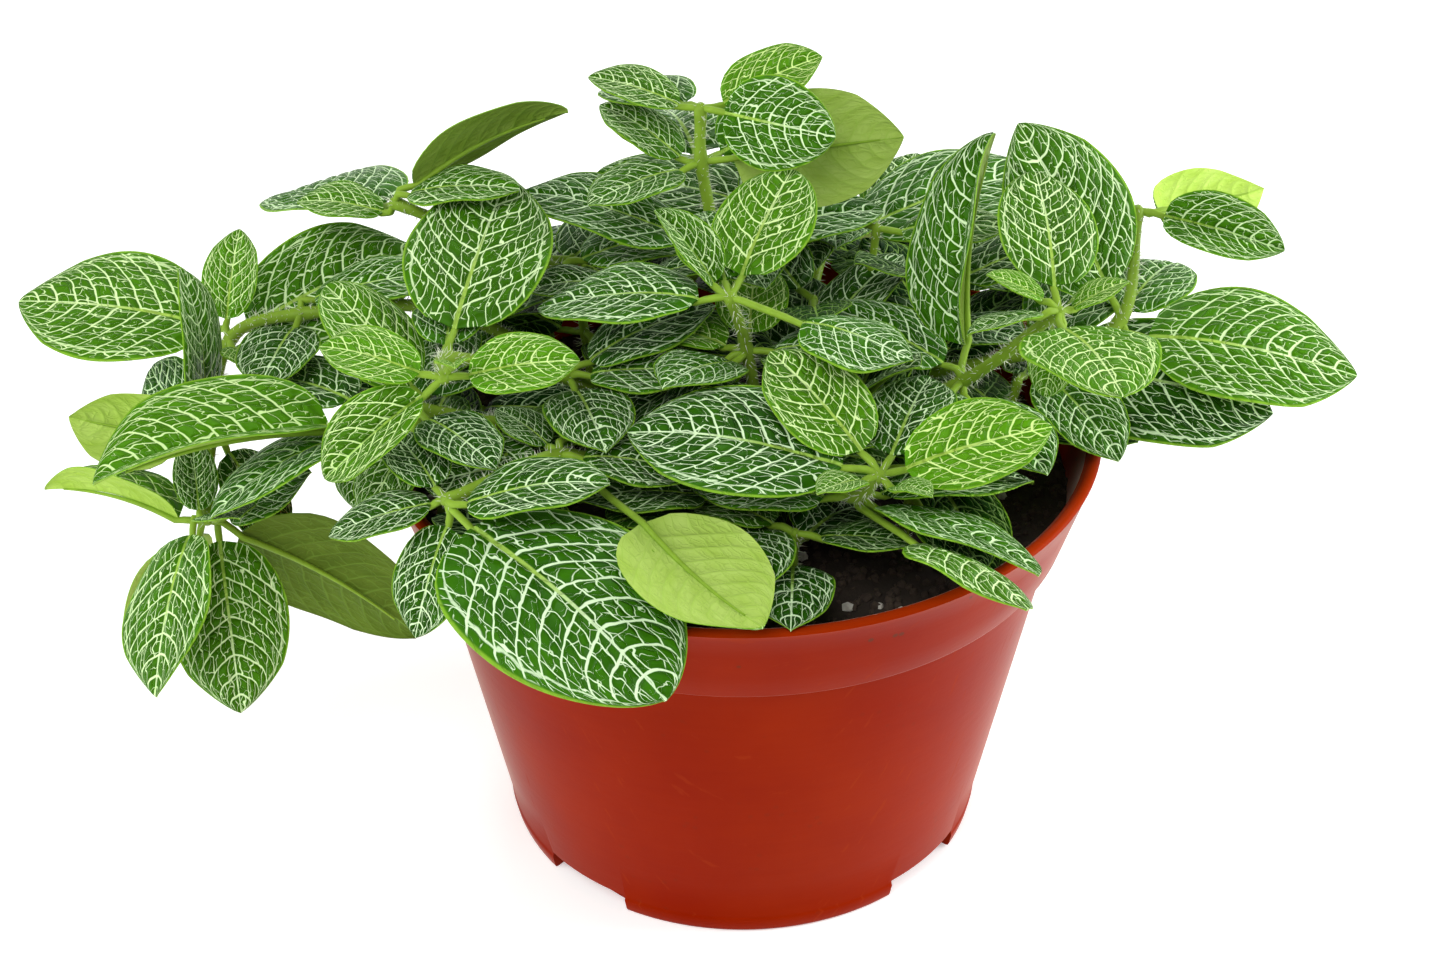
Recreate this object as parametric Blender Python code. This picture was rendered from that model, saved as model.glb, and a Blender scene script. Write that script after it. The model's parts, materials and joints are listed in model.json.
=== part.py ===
"""A potted nerve plant: a turned nursery pot, its soil, rooted stems and one solid for each large leaf.

Lengths are in millimetres and angles in degrees; the scene is in metres, +Z up. The origin is the
middle of the pot's flat underside, and -Y is the plant's front.
"""

from itertools import product
from math import cos, pi, radians, sin

import bmesh
import bpy
from mathutils import Vector, noise
from mathutils.bvhtree import BVHTree

MM = 0.001
GAP = 0.3
CLEARANCE = 3 * GAP

POT_HEIGHT = 101
RIM_RADIUS = 78.5
BAND_HEIGHT = 21
BAND_LOW_RADIUS = 71.5
WALL_TOP_RADIUS = 69.2
FOOT_RADIUS = 54
FOOT_HEIGHT = 4
FOOT_STEP = 0.6
WALL = 1.8
FLOOR = 3
LIP_ROUND = 1.2
TURNED_SIDES = 48

NOTCH_COUNT = 4
NOTCH_FIRST_ANGLE = -41
NOTCH_SIZE = (8, 22, 10)

SOIL_EDGE_HEIGHT = 86
SOIL_CROWN = 3
SOIL_LUMP = 0.8
SOIL_LUMPS_PER_MM = 0.06
SOIL_RING_SHARES = (0.7, 0.35)

STEM_RADIUS = 1.6
STEM_STEPS = 3
FIRST_JOINT_HEIGHT = 100
SOCKET_DEPTH = 8
SOCKET_RADIUS = STEM_RADIUS * 1.1 + GAP
SOCKET_SIDES = 12
SOIL_COLLAR = 3

BLADE_THICKNESS = 0.7
PETIOLE_HALF_WIDTH = 0.9
BLADE_STATIONS = (0, 0.05, 0.22, 0.45, 0.68, 0.88, 1)
BLADE_ACROSS = (-1, -0.5, 0, 0.5, 1)
BASE_FULLNESS = 0.5
TIP_FULLNESS = 0.62
MARGIN_CURL = 0.12

# A leaf of each form: width and petiole as shares of its length, fold along the midrib, droop.
FORMS = {
    "open": (0.68, 0.10, 8, 28),
    "round": (0.76, 0.10, 6, 24),
    "folded": (0.64, 0.10, 38, 30),
    "young": (0.62, 0.08, 14, 30),
    "twisted": (0.76, 0.55, -6, 26),
    "stalked": (0.76, 0.62, -6, 26),
}

# A leaf settles against the ones before it by turning in these steps, the smallest first.
TURNS = range(-40, 41, 5)

# Each shoot: where it is rooted, how its stem walks on from joint to joint, and its leaves. A step
# of the walk is a heading (0 right, 90 back, 180 left, 270 front), a level reach and the height of
# the joint. A leaf is its name, its joint (0 is the first, straight over the root), the heading,
# rise and roll of its blade, its length and its form.
SHOOTS = {
    "left_trail": {
        "root": (-30, 8),
        "walk": ((165, 34, 118), (175, 34, 116), (195, 16, 112), (260, 18, 98), (270, 14, 86)),
        "leaves": (
            ("far_left", 3, 165, 0, -20, 46, "open"),
            ("left_return", 3, 30, 20, 25, 44, "open"),
            ("left_blade", 4, 105, 65, 65, 34, "open"),
            ("left_under", 4, 165, 0, 150, 28, "open"),
            ("left_shade", 4, 130, 10, -50, 27, "open"),
            ("hanging_front", 5, 282, -52, 0, 38, "open"),
            ("hanging_outer", 5, 200, -66, 60, 36, "young"),
            ("hanging_left", 5, 255, -50, 30, 37, "open"),
            ("hanging_back", 5, 355, -45, -80, 46, "open"),
            ("left_reach", 5, 165, 15, 30, 32, "folded"),
        ),
    },
    "left_low": {
        "root": (-26, -12),
        "walk": ((190, 42, 116), (155, 14, 110)),
        "leaves": (
            ("long_left", 2, 185, -6, 0, 51, "folded"),
            ("left_middle", 2, 150, -8, 0, 32, "open"),
            ("left_lower", 2, 210, -18, 15, 33, "open"),
            ("shoulder_left", 1, 145, 38, 0, 28, "round"),
        ),
    },
    "upper_left": {
        "root": (-16, 0),
        "walk": ((200, 22, 116), (205, 26, 128), (270, 14, 132)),
        "leaves": (
            ("crown_left", 2, 78, 15, 5, 46, "open"),
            ("lime_fold", 3, 190, -40, -40, 28, "folded"),
        ),
    },
    "back_left": {
        "root": (-12, 22),
        "walk": ((170, 28, 122), (175, 36, 138)),
        "leaves": (
            ("back_blade", 2, 15, 20, -50, 38, "young"),
            ("back_inner", 2, 345, 10, 0, 26, "open"),
            ("back_far_left", 2, 130, -20, 0, 46, "open"),
            ("back_left_low", 1, 105, -20, 0, 50, "open"),
        ),
    },
    "back_centre": {
        "root": (-2, 24),
        "walk": ((150, 4, 130), (135, 4, 148), (90, 2, 160)),
        "leaves": (
            ("top_middle", 2, 45, 2, 45, 30, "open"),
            ("top_broad", 2, 355, 10, -115, 38, "open"),
            ("top_rear", 2, 100, -15, 0, 50, "open"),
            ("back_middle", 1, 170, 12, 0, 38, "open"),
        ),
    },
    "centre": {
        "root": (4, -4),
        "walk": ((225, 4, 122), (235, 6, 138)),
        "leaves": (
            ("centre_round", 2, 65, 25, 0, 29, "round"),
            ("centre_left", 2, 168, -10, 0, 36, "open"),
            ("centre_fall", 2, 328, -2, 0, 26, "twisted"),
        ),
    },
    "front_centre": {
        "root": (8, -18),
        "walk": ((300, 28, 109), (300, 10, 120)),
        "leaves": (
            ("middle_wide", 2, 162, -1, -12, 46, "open"),
            ("middle_lime", 2, 130, 20, -10, 30, "open"),
            ("front_right_new", 2, 10, 12, 30, 31, "young"),
            ("front_right_low", 1, 15, -6, -15, 34, "open"),
            ("front_right_edge", 1, 335, -2, -25, 38, "open"),
            ("front_right_under", 1, 315, -8, -32, 33, "stalked"),
        ),
    },
    "right": {
        "root": (26, 2),
        "walk": ((330, 24, 116), (335, 20, 138)),
        "leaves": (
            ("right_tall", 1, 75, 55, -50, 46, "folded"),
            ("right_back", 2, 95, 28, 10, 29, "round"),
            ("right_front", 2, 282, 10, 0, 36, "round"),
        ),
    },
    "far_right": {
        "root": (30, 14),
        "walk": ((340, 36, 116), (10, 18, 122), (75, 16, 140)),
        "leaves": (
            ("right_crown", 2, 145, 54, -30, 41, "open"),
            ("right_wide", 1, 348, -8, 30, 46, "open"),
            ("right_tip", 2, 352, -8, 20, 46, "open"),
            ("right_fold", 3, 340, -8, 45, 27, "folded"),
            ("right_curl", 3, 30, -5, -140, 30, "young"),
        ),
    },
    "front_left": {
        "root": (-20, -24),
        "walk": ((210, 20, 114), (210, 26, 112)),
        "leaves": (
            ("front_great", 2, 314, -12, 5, 58, "round"),
            ("front_inner", 1, 180, -12, -30, 25, "open"),
            ("front_pale", 1, 310, -12, 180, 38, "stalked"),
        ),
    },
    "rear": {
        "root": (14, 34),
        "walk": ((75, 26, 114), (80, 24, 106)),
        "leaves": (
            ("rear_right", 1, 20, 5, 0, 52, "open"),
            ("rear_left", 1, 160, 5, 0, 50, "open"),
            ("rear_drop", 2, 100, -45, 0, 48, "open"),
        ),
    },
}

MATERIALS = {
    "terracotta_plastic": ((0.30, 0.035, 0.012), 0.35),
    "potting_soil": ((0.018, 0.012, 0.009), 0.95),
    "green_stem": ((0.18, 0.30, 0.05), 0.55),
    "veined_leaf": ((0.05, 0.16, 0.02), 0.45),
}


def material(name):
    """The named finish, made once."""
    found = bpy.data.materials.get(name)
    if found:
        return found
    colour, roughness = MATERIALS[name]
    made = bpy.data.materials.new(name)
    made.use_nodes = True
    shader = made.node_tree.nodes["Principled BSDF"]
    shader.inputs["Base Color"].default_value = (*colour, 1)
    shader.inputs["Roughness"].default_value = roughness
    shader.inputs["Metallic"].default_value = 0
    return made


def add_object(name, data, finish):
    """Link the data to the scene as one node with its finish."""
    made = bpy.data.objects.new(name, data)
    data.materials.append(material(finish))
    bpy.context.collection.objects.link(made)
    return made


def closed_mesh(name, points, faces):
    """A mesh of points in millimetres whose faces all point outwards."""
    mesh = bpy.data.meshes.new(name)
    mesh.from_pydata([Vector(p) * MM for p in points], [], faces)
    shape = bmesh.new()
    shape.from_mesh(mesh)
    bmesh.ops.recalc_face_normals(shape, faces=shape.faces)
    shape.to_mesh(mesh)
    shape.free()
    mesh.shade_smooth()
    mesh.set_sharp_from_angle(angle=radians(40))
    return mesh


def turned(profile, sides=TURNED_SIDES):
    """Points and faces of a profile of (radius, height), turned about Z; both ends lie on the axis."""
    points = [(0, 0, profile[0][1])]
    for radius, height in profile[1:-1]:
        for k in range(sides):
            angle = 2 * pi * k / sides
            points.append((radius * cos(angle), radius * sin(angle), height))
    points.append((0, 0, profile[-1][1]))
    last = len(points) - 1
    rings = len(profile) - 2
    faces = []
    for k in range(sides):
        after = (k + 1) % sides
        faces.append((0, 1 + after, 1 + k))
        for ring in range(rings - 1):
            low, high = 1 + ring * sides, 1 + (ring + 1) * sides
            faces.append((low + k, low + after, high + after, high + k))
        top = 1 + (rings - 1) * sides
        faces.append((top + k, top + after, last))
    return points, faces


def wall_radius(height):
    """Outer radius of the tapered wall between the foot and the band."""
    share = height / (POT_HEIGHT - BAND_HEIGHT)
    return FOOT_RADIUS - FOOT_STEP + (WALL_TOP_RADIUS - FOOT_RADIUS + FOOT_STEP) * share


def band_radius(height):
    """Outer radius of the flared band under the rim."""
    share = (height - POT_HEIGHT + BAND_HEIGHT) / BAND_HEIGHT
    return BAND_LOW_RADIUS + (RIM_RADIUS - BAND_LOW_RADIUS) * share


def build_pot():
    """The pot: foot ring, tapered wall, flared band with a rounded lip, and drain notches."""
    ledge = POT_HEIGHT - BAND_HEIGHT
    lip = POT_HEIGHT - LIP_ROUND
    profile = [
        (0, 0),
        (FOOT_RADIUS - 1, 0),
        (FOOT_RADIUS, 1),
        (FOOT_RADIUS + FOOT_STEP, FOOT_HEIGHT),
        (wall_radius(FOOT_HEIGHT + FOOT_STEP), FOOT_HEIGHT + FOOT_STEP),
        (wall_radius(ledge), ledge),
        (band_radius(ledge), ledge + 0.4),
        (band_radius(lip), lip),
        (RIM_RADIUS - LIP_ROUND / 2, POT_HEIGHT),
        (RIM_RADIUS - WALL - LIP_ROUND / 2, POT_HEIGHT),
        (band_radius(lip) - WALL - LIP_ROUND, lip),
        (band_radius(ledge + WALL) - WALL, ledge + WALL),
        (wall_radius(ledge) - WALL, ledge),
        (wall_radius(FLOOR) - WALL, FLOOR),
        (0, FLOOR),
    ]
    pot = add_object("pot", closed_mesh("pot", *turned(profile)), "terracotta_plastic")
    for k in range(NOTCH_COUNT):
        angle = radians(NOTCH_FIRST_ANGLE + 360 / NOTCH_COUNT * k)
        bpy.ops.mesh.primitive_cube_add(size=1, location=(0, 0, 0))
        cutter = bpy.context.object
        cutter.name = f"notch_cutter_{k + 1}"
        cutter.scale = [side * MM for side in NOTCH_SIZE]
        cutter.rotation_euler.z = angle
        cutter.location = Vector((cos(angle), sin(angle), 0)) * FOOT_RADIUS * MM
        cutter.hide_render = True
        cutter.display_type = "WIRE"
        cut = pot.modifiers.new(cutter.name, "BOOLEAN")
        cut.operation = "DIFFERENCE"
        cut.object = cutter
    return pot


def soil_height(x, y):
    """Height of the soil's uneven, slightly crowned top."""
    edge = band_radius(SOIL_EDGE_HEIGHT)
    crown = SOIL_CROWN * (1 - (x * x + y * y) / edge**2)
    return SOIL_EDGE_HEIGHT + crown + SOIL_LUMP * noise.noise(Vector((x, y, 0)) * SOIL_LUMPS_PER_MM)


def build_soil():
    """The soil, filling the pot to just under the rim, with a socket for each stem."""
    ledge = POT_HEIGHT - BAND_HEIGHT + WALL + GAP
    edge = band_radius(SOIL_EDGE_HEIGHT) - WALL - GAP
    profile = [
        (0, FLOOR + GAP),
        (wall_radius(FLOOR) - WALL - GAP, FLOOR + GAP),
        (wall_radius(ledge - WALL) - WALL - GAP, ledge - WALL),
        (wall_radius(ledge - WALL) - WALL - GAP, ledge),
        (band_radius(ledge) - WALL - GAP, ledge),
        (edge, SOIL_EDGE_HEIGHT),
        *((edge * share, SOIL_EDGE_HEIGHT) for share in SOIL_RING_SHARES),
        (0, SOIL_EDGE_HEIGHT),
    ]
    points, faces = turned(profile)
    points = [
        (x, y, soil_height(x, y) if z == SOIL_EDGE_HEIGHT and x * x + y * y < (edge - 1) ** 2 else z)
        for x, y, z in points
    ]
    soil = add_object("potting_soil", closed_mesh("potting_soil", points, faces), "potting_soil")
    for name, shoot in SHOOTS.items():
        x, y = shoot["root"]
        top = SOIL_EDGE_HEIGHT + 2 * SOIL_CROWN
        bottom = soil_height(x, y) - SOCKET_DEPTH - GAP
        bpy.ops.mesh.primitive_cylinder_add(
            vertices=SOCKET_SIDES,
            radius=SOCKET_RADIUS * MM,
            depth=(top - bottom) * MM,
            location=(x * MM, y * MM, (top + bottom) / 2 * MM),
        )
        cutter = bpy.context.object
        cutter.name = f"{name}_socket_cutter"
        cutter.hide_render = True
        cutter.display_type = "WIRE"
        cut = soil.modifiers.new(cutter.name, "BOOLEAN")
        cut.operation = "DIFFERENCE"
        cut.object = cutter
    return soil


def stem_joints(shoot):
    """The joints of a shoot's stem, from the one straight over its root to its tip."""
    x, y = shoot["root"]
    joints = [Vector((x, y, FIRST_JOINT_HEIGHT))]
    for heading, reach, height in shoot["walk"]:
        turn = radians(heading)
        x, y = x + reach * cos(turn), y + reach * sin(turn)
        joints.append(Vector((x, y, height)))
    return joints


def stem_route(joints):
    """Smooth points through a stem's joints, from the foot of its socket to its tip."""
    x, y, _ = joints[0]
    ground = soil_height(x, y)
    knots = [Vector((x, y, ground - SOCKET_DEPTH)), Vector((x, y, ground + SOIL_COLLAR)), *joints]
    padded = [knots[0] * 2 - knots[1], *knots, knots[-1] * 2 - knots[-2]]
    route = [knots[0]]
    for a, b, c, d in zip(padded, padded[1:], padded[2:], padded[3:]):
        steps = 1 if b is knots[0] else STEM_STEPS
        for k in range(1, steps + 1):
            t = k / steps
            along = (c - a) * t + (2 * a - 5 * b + 4 * c - d) * t**2 + (3 * b - a - 3 * c + d) * t**3
            route.append(b + along / 2)
    return route


def build_stem(name, joints):
    """A stem, as a round tube along its smooth route."""
    curve = bpy.data.curves.new(name, "CURVE")
    curve.dimensions = "3D"
    curve.bevel_depth = STEM_RADIUS * MM
    curve.bevel_resolution = 2
    curve.use_fill_caps = True
    route = stem_route(joints)
    spline = curve.splines.new("POLY")
    spline.points.add(len(route) - 1)
    for point, place in zip(spline.points, route):
        point.co = (*(place * MM), 1)
    return add_object(name, curve, "green_stem")


def heading_vector(heading, rise):
    """The unit vector of a heading and a rise above level."""
    h, r = radians(heading), radians(rise)
    return Vector((cos(h) * cos(r), sin(h) * cos(r), sin(r)))


def half_width(share):
    """Half the blade's width at a share of its length, as a share of its greatest half width."""
    widest = BASE_FULLNESS / (BASE_FULLNESS + TIP_FULLNESS)
    low = (share / widest) ** BASE_FULLNESS
    return low * ((1 - share) / (1 - widest)) ** TIP_FULLNESS


def leaf_solid(root, stem_way, heading, rise, roll, length, form, thickness=BLADE_THICKNESS):
    """Points and faces of a leaf: a petiole and an arched blade, lofted through cross sections."""
    ratio, petiole, fold, droop = FORMS[form]
    along = heading_vector(heading, rise)
    axil = (along - stem_way * along.dot(stem_way)).normalized()
    level = along.cross(Vector((0, 0, 1))).normalized()
    face = level.cross(along)
    turn = radians(roll)
    face, side = face * cos(turn) + level * sin(turn), level * cos(turn) - face * sin(turn)
    bend = radians(droop)
    base = root + axil * (STEM_RADIUS + 2 * GAP + PETIOLE_HALF_WIDTH) + along * length * petiole
    fold_rise, fold_reach = sin(radians(fold)), cos(radians(fold))
    sections = [(base - along * length * petiole, PETIOLE_HALF_WIDTH, face)]
    for share in BLADE_STATIONS:
        angle = bend * (0.5 - share)
        middle = base + length / bend * (
            along * (sin(bend / 2) - sin(angle)) + face * (cos(angle) - cos(bend / 2))
        )
        width = max(length * ratio / 2 * half_width(share), PETIOLE_HALF_WIDTH * (1 - share / 2))
        sections.append((middle, width, face * cos(angle) - along * sin(angle)))
    points = []
    for middle, width, up in sections:
        for offset, order in ((thickness / 2, BLADE_ACROSS), (-thickness / 2, BLADE_ACROSS[::-1])):
            for t in order:
                lift = width * (abs(t) * fold_rise - MARGIN_CURL * t * t) + offset
                points.append(middle + side * (t * width * fold_reach) + up * lift)
    ring = 2 * len(BLADE_ACROSS)
    faces = [tuple(range(ring)), tuple(len(points) - ring + k for k in range(ring))[::-1]]
    for start in range(0, len(points) - ring, ring):
        for k in range(ring):
            after = (k + 1) % ring
            faces.append((start + k, start + after, start + ring + after, start + ring + k))
    return points, faces


def settled_leaf(joints, leaf, others):
    """The leaf's solid, turned by the smallest steps that keep it clear of what stands already."""
    name, joint, heading, rise, roll, length, form = leaf
    root = joints[joint]
    stem_way = (root - joints[joint - 1]).normalized()
    for turn, lift in sorted(product(TURNS, TURNS), key=lambda step: step[0] ** 2 + step[1] ** 2):
        pose = (root, stem_way, heading + turn, rise + lift, roll, length, form)
        tree = BVHTree.FromPolygons(*leaf_solid(*pose, thickness=BLADE_THICKNESS + CLEARANCE))
        if not any(tree.overlap(other) for other in others):
            solid = leaf_solid(*pose)
            others.append(BVHTree.FromPolygons(*solid))
            return solid
    raise ValueError(f"{name} finds no clear place")


def solid_tree(made):
    """The evaluated shape of an object, in millimetres, for the settling of leaves."""
    bpy.context.view_layer.update()
    mesh = made.evaluated_get(bpy.context.evaluated_depsgraph_get()).to_mesh()
    points = [v.co / MM for v in mesh.vertices]
    return BVHTree.FromPolygons(points, [tuple(p.vertices) for p in mesh.polygons])


def main():
    """Clear the scene and build the pot, the soil, the stems and the leaves."""
    for old in list(bpy.data.objects):
        bpy.data.objects.remove(old)
    standing = [build_pot(), build_soil()]
    standing += [build_stem(f"{name}_stem", stem_joints(shoot)) for name, shoot in SHOOTS.items()]
    others = [solid_tree(made) for made in standing]
    for shoot in SHOOTS.values():
        for leaf in shoot["leaves"]:
            name = f"{leaf[0]}_leaf"
            solid = settled_leaf(stem_joints(shoot), leaf, others)
            add_object(name, closed_mesh(name, *solid), "veined_leaf")


main()
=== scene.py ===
"""Potted nerve plant: pot, soil, hairy stems and net-veined leaves, with their finishes, stage and light.

Laid out as an add-on and run as a script. Lengths in the plant's own lists are in millimetres and
angles in degrees; Blender's scene is in metres, +Z up, and -Y is the plant's front.
"""

import json
from itertools import count, product
from math import cos, hypot, pi, radians, sin
from typing import NamedTuple

import bmesh
import bpy
import numpy as np
from bpy.props import FloatProperty, FloatVectorProperty, IntProperty, PointerProperty
from mathutils import Matrix, Vector, noise
from mathutils.bvhtree import BVHTree

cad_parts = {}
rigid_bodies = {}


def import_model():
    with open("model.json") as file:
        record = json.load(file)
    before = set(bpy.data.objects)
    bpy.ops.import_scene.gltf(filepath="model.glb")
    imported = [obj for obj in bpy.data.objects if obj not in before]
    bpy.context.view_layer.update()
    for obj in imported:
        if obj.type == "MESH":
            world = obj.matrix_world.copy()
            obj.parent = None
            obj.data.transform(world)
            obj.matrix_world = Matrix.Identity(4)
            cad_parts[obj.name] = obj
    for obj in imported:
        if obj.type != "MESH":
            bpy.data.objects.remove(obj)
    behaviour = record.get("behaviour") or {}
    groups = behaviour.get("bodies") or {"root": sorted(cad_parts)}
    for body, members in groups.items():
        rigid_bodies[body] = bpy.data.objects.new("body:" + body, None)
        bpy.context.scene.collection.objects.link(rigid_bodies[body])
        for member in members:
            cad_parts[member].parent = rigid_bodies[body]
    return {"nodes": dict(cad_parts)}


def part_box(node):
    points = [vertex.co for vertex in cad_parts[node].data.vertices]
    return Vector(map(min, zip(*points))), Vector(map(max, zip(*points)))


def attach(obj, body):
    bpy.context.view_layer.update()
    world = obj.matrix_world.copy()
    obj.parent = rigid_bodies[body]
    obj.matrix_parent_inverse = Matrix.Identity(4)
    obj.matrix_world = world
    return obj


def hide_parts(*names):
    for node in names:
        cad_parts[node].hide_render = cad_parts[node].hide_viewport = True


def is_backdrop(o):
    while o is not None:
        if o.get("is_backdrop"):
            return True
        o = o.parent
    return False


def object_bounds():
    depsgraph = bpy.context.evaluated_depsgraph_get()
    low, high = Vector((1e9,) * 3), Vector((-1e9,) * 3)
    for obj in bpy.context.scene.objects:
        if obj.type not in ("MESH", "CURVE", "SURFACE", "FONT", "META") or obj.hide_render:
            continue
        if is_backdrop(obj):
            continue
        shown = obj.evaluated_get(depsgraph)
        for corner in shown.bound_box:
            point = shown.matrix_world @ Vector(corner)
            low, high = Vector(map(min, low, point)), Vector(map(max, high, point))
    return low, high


bl_info = {
    "name": "Potted Nerve Plant",
    "version": (1, 0, 0),
    "blender": (4, 5, 0),
    "location": "3D View > Sidebar > Nerve Plant",
    "description": "Builds a trailing nerve plant in its nursery pot around the packed frame",
    "category": "Add Mesh",
}

for old in list(bpy.data.objects):
    bpy.data.objects.remove(old)
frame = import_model()
CAD_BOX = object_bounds()

MM = 0.001
BODY = "root"

# The pot's and the soil's sizes, as the frame has them, in millimetres.
POT_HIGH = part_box("pot")[1] / MM
SOIL_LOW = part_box("potting_soil")[0] / MM
POT_HEIGHT = POT_HIGH.z
RIM_RADIUS = POT_HIGH.x
BAND_HEIGHT = 21
BAND_LOW_RADIUS = 71.5
WALL_TOP_RADIUS = 69.2
FOOT_RADIUS = 54
FOOT_HEIGHT = 4
FOOT_STEP = 0.6
WALL = 1.8
FLOOR = 3
LIP_ROUND = 1.2
NOTCH_COUNT = 4
NOTCH_FIRST_ANGLE = -41
NOTCH_SIZE = (8, 22, 10)
SOIL_EDGE_HEIGHT = 86
SOIL_CROWN = 3
SOIL_LUMP = 0.8
SOIL_LUMPS_PER_MM = 0.06
SOIL_ROUGHNESS = 0.9
SOIL_GRAINS_PER_MM = 0.35
SOIL_RINGS = 34
SOIL_SIDES = 120
SHARP_EDGE = 35

GAP = 0.3
FLOOR_GAP = 0.2

# Stems: their radius, the part of it lost towards the tip and gained at a joint, how far from the
# joint that reaches, how deep and how high they stand straight in the soil, and other heights.
STEM_RADIUS = 1.6
STEM_TAPER = 0.25
JOINT_SWELLING = 0.22
SWELLING_REACH = 4
STEM_STEPS = 8
STEM_DEPTH = 4
SOIL_COLLAR = 3
FIRST_JOINT_HEIGHT = 100
UNDERGROWTH_FIRST_JOINT = 95
UNDERGROWTH_TALL = 115
UNDERGROWTH_LEAN = 0.12
UNDERGROWTH_THICKNESS = 0.7
UNDERGROWTH_HAIR_SEED = 40
UNDERGROWTH_LEAF_SEED = 1000

# Leaves: the frame's plain blade and this script's finer one, the outline's fullness, the youth
# from which a leaf counts as young, and how much painted shade darkens the undergrowth's leaves.
BLADE_THICKNESS = 0.7
FINE_THICKNESS = 0.45
PETIOLE_HALF_WIDTH = 0.9
BASE_FULLNESS = 0.5
TIP_FULLNESS = 0.62
MARGIN_CURL = 0.12
RIM_EDGE = 60
YOUNG_FROM = 0.55
UNDERGROWTH_PAINTED_SHADE = 0.8

# A leaf of each form: width and petiole as shares of its length, fold along the midrib, droop.
FORMS = {
    "open": (0.68, 0.10, 8, 28),
    "round": (0.76, 0.10, 6, 24),
    "folded": (0.64, 0.10, 38, 30),
    "young": (0.62, 0.08, 14, 30),
    "twisted": (0.76, 0.55, -6, 26),
    "stalked": (0.76, 0.62, -6, 26),
}
# The plain leaf of the frame: shares of the length and parts of a half width with points.
BLADE_STATIONS = (0, 0.05, 0.22, 0.45, 0.68, 0.88, 1)
BLADE_ACROSS = (-1, -0.5, 0, 0.5, 1)

# How far a listed leaf may be turned and lifted, in degrees, and how far its box may miss the frame's.
MOST_TURN = 40
FRAME_TURN_STEP = 5
FILL_TURN_STEP = 10
BOX_MISS = 0.5

# The net of veins. Lengths are in spaces between side veins, the edge vein's place is a part of
# the half width, and a leaf shorter than the full length in millimetres has fewer side veins.
SIDE_VEIN_WOBBLE = 0.28
SIDE_VEIN_WIDTH = 0.070
MIDRIB_WIDTH = 0.125
RUNGS_PER_SPACE = 1.55
SPUR_CELLS = 1.7
SPUR_WIDTH = 0.044
HALFWAY_WIDTH = 0.040
EDGE_VEIN_PLACE = 0.86
LEAST_VEIN_PAIRS = 7
FULL_VEIN_LENGTH = 40

# Fixed colours of the finishes.
# Painted shade: the dimmed net of the undergrowth's leaves, deep in the plant.
PAINTED_SHADE_VEIN = (0.24, 0.42, 0.10, 1.0)
OLD_RIB = (0.36, 0.58, 0.09, 1.0)
NEW_RIB = (0.42, 0.62, 0.10, 1.0)
LEAF_MARGIN = (0.26, 0.50, 0.035, 1.0)
# The old undersides are kept dark partly as painted shade, for the old leaf that hangs in shade at the back.
OLD_UNDER_GREEN_AND_SHADE = (0.036, 0.068, 0.002, 1.0)
NEW_UNDER_GREEN = (0.45, 0.71, 0.065, 1.0)
OLD_UNDER_PALE_AND_SHADE = (0.095, 0.16, 0.008, 1.0)
NEW_UNDER_PALE = (0.70, 0.94, 0.24, 1.0)
OLD_UNDER_VEIN = (0.17, 0.30, 0.04, 1.0)
NEW_UNDER_VEIN = (0.36, 0.60, 0.06, 1.0)
SOIL_SPECK = (0.07, 0.030, 0.016, 1.0)
SCRATCHED_PLASTIC = (0.62, 0.15, 0.04, 1.0)

# The camera's place in metres, how far it looks down and how far it is tilted.
CAMERA_PLACE = (-0.0042, -0.5124, 0.4334)
CAMERA_PITCH = 34.23
CAMERA_TILT = -0.45
SENSOR_WIDTH = 36

# The floor is flat to this radius, then curves up with the same radius.
FLAT_FLOOR = 1600
FLOOR_DEPTH = 40
FLOOR_SIDES = 96
FLOOR_GLOW = 0.36
SKY_STRENGTH = 0.3

# Lamps: place in metres, height of what they look at, width and share of the main lamp's power.
LAMPS = (
    ("front_top_lamp", (-0.25, -0.75, 1.15), 0.08, 0.7, 1.0),
    ("right_lamp", (0.75, 0.05, 0.35), 0.06, 0.5, 0.75),
    ("left_lamp", (-0.85, -0.25, 0.45), 0.08, 0.6, 0.5),
    ("back_lamp", (0.1, 0.9, 0.9), 0.1, 0.7, 0.6),
)


class Leaf(NamedTuple):
    """A leaf as listed: youth is 0 for a dark old leaf and 1 for a lime green new one."""

    name: str
    joint: int
    heading: float
    rise: float
    roll: float
    length: float
    form: str = "open"
    youth: float = 0.1


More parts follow.
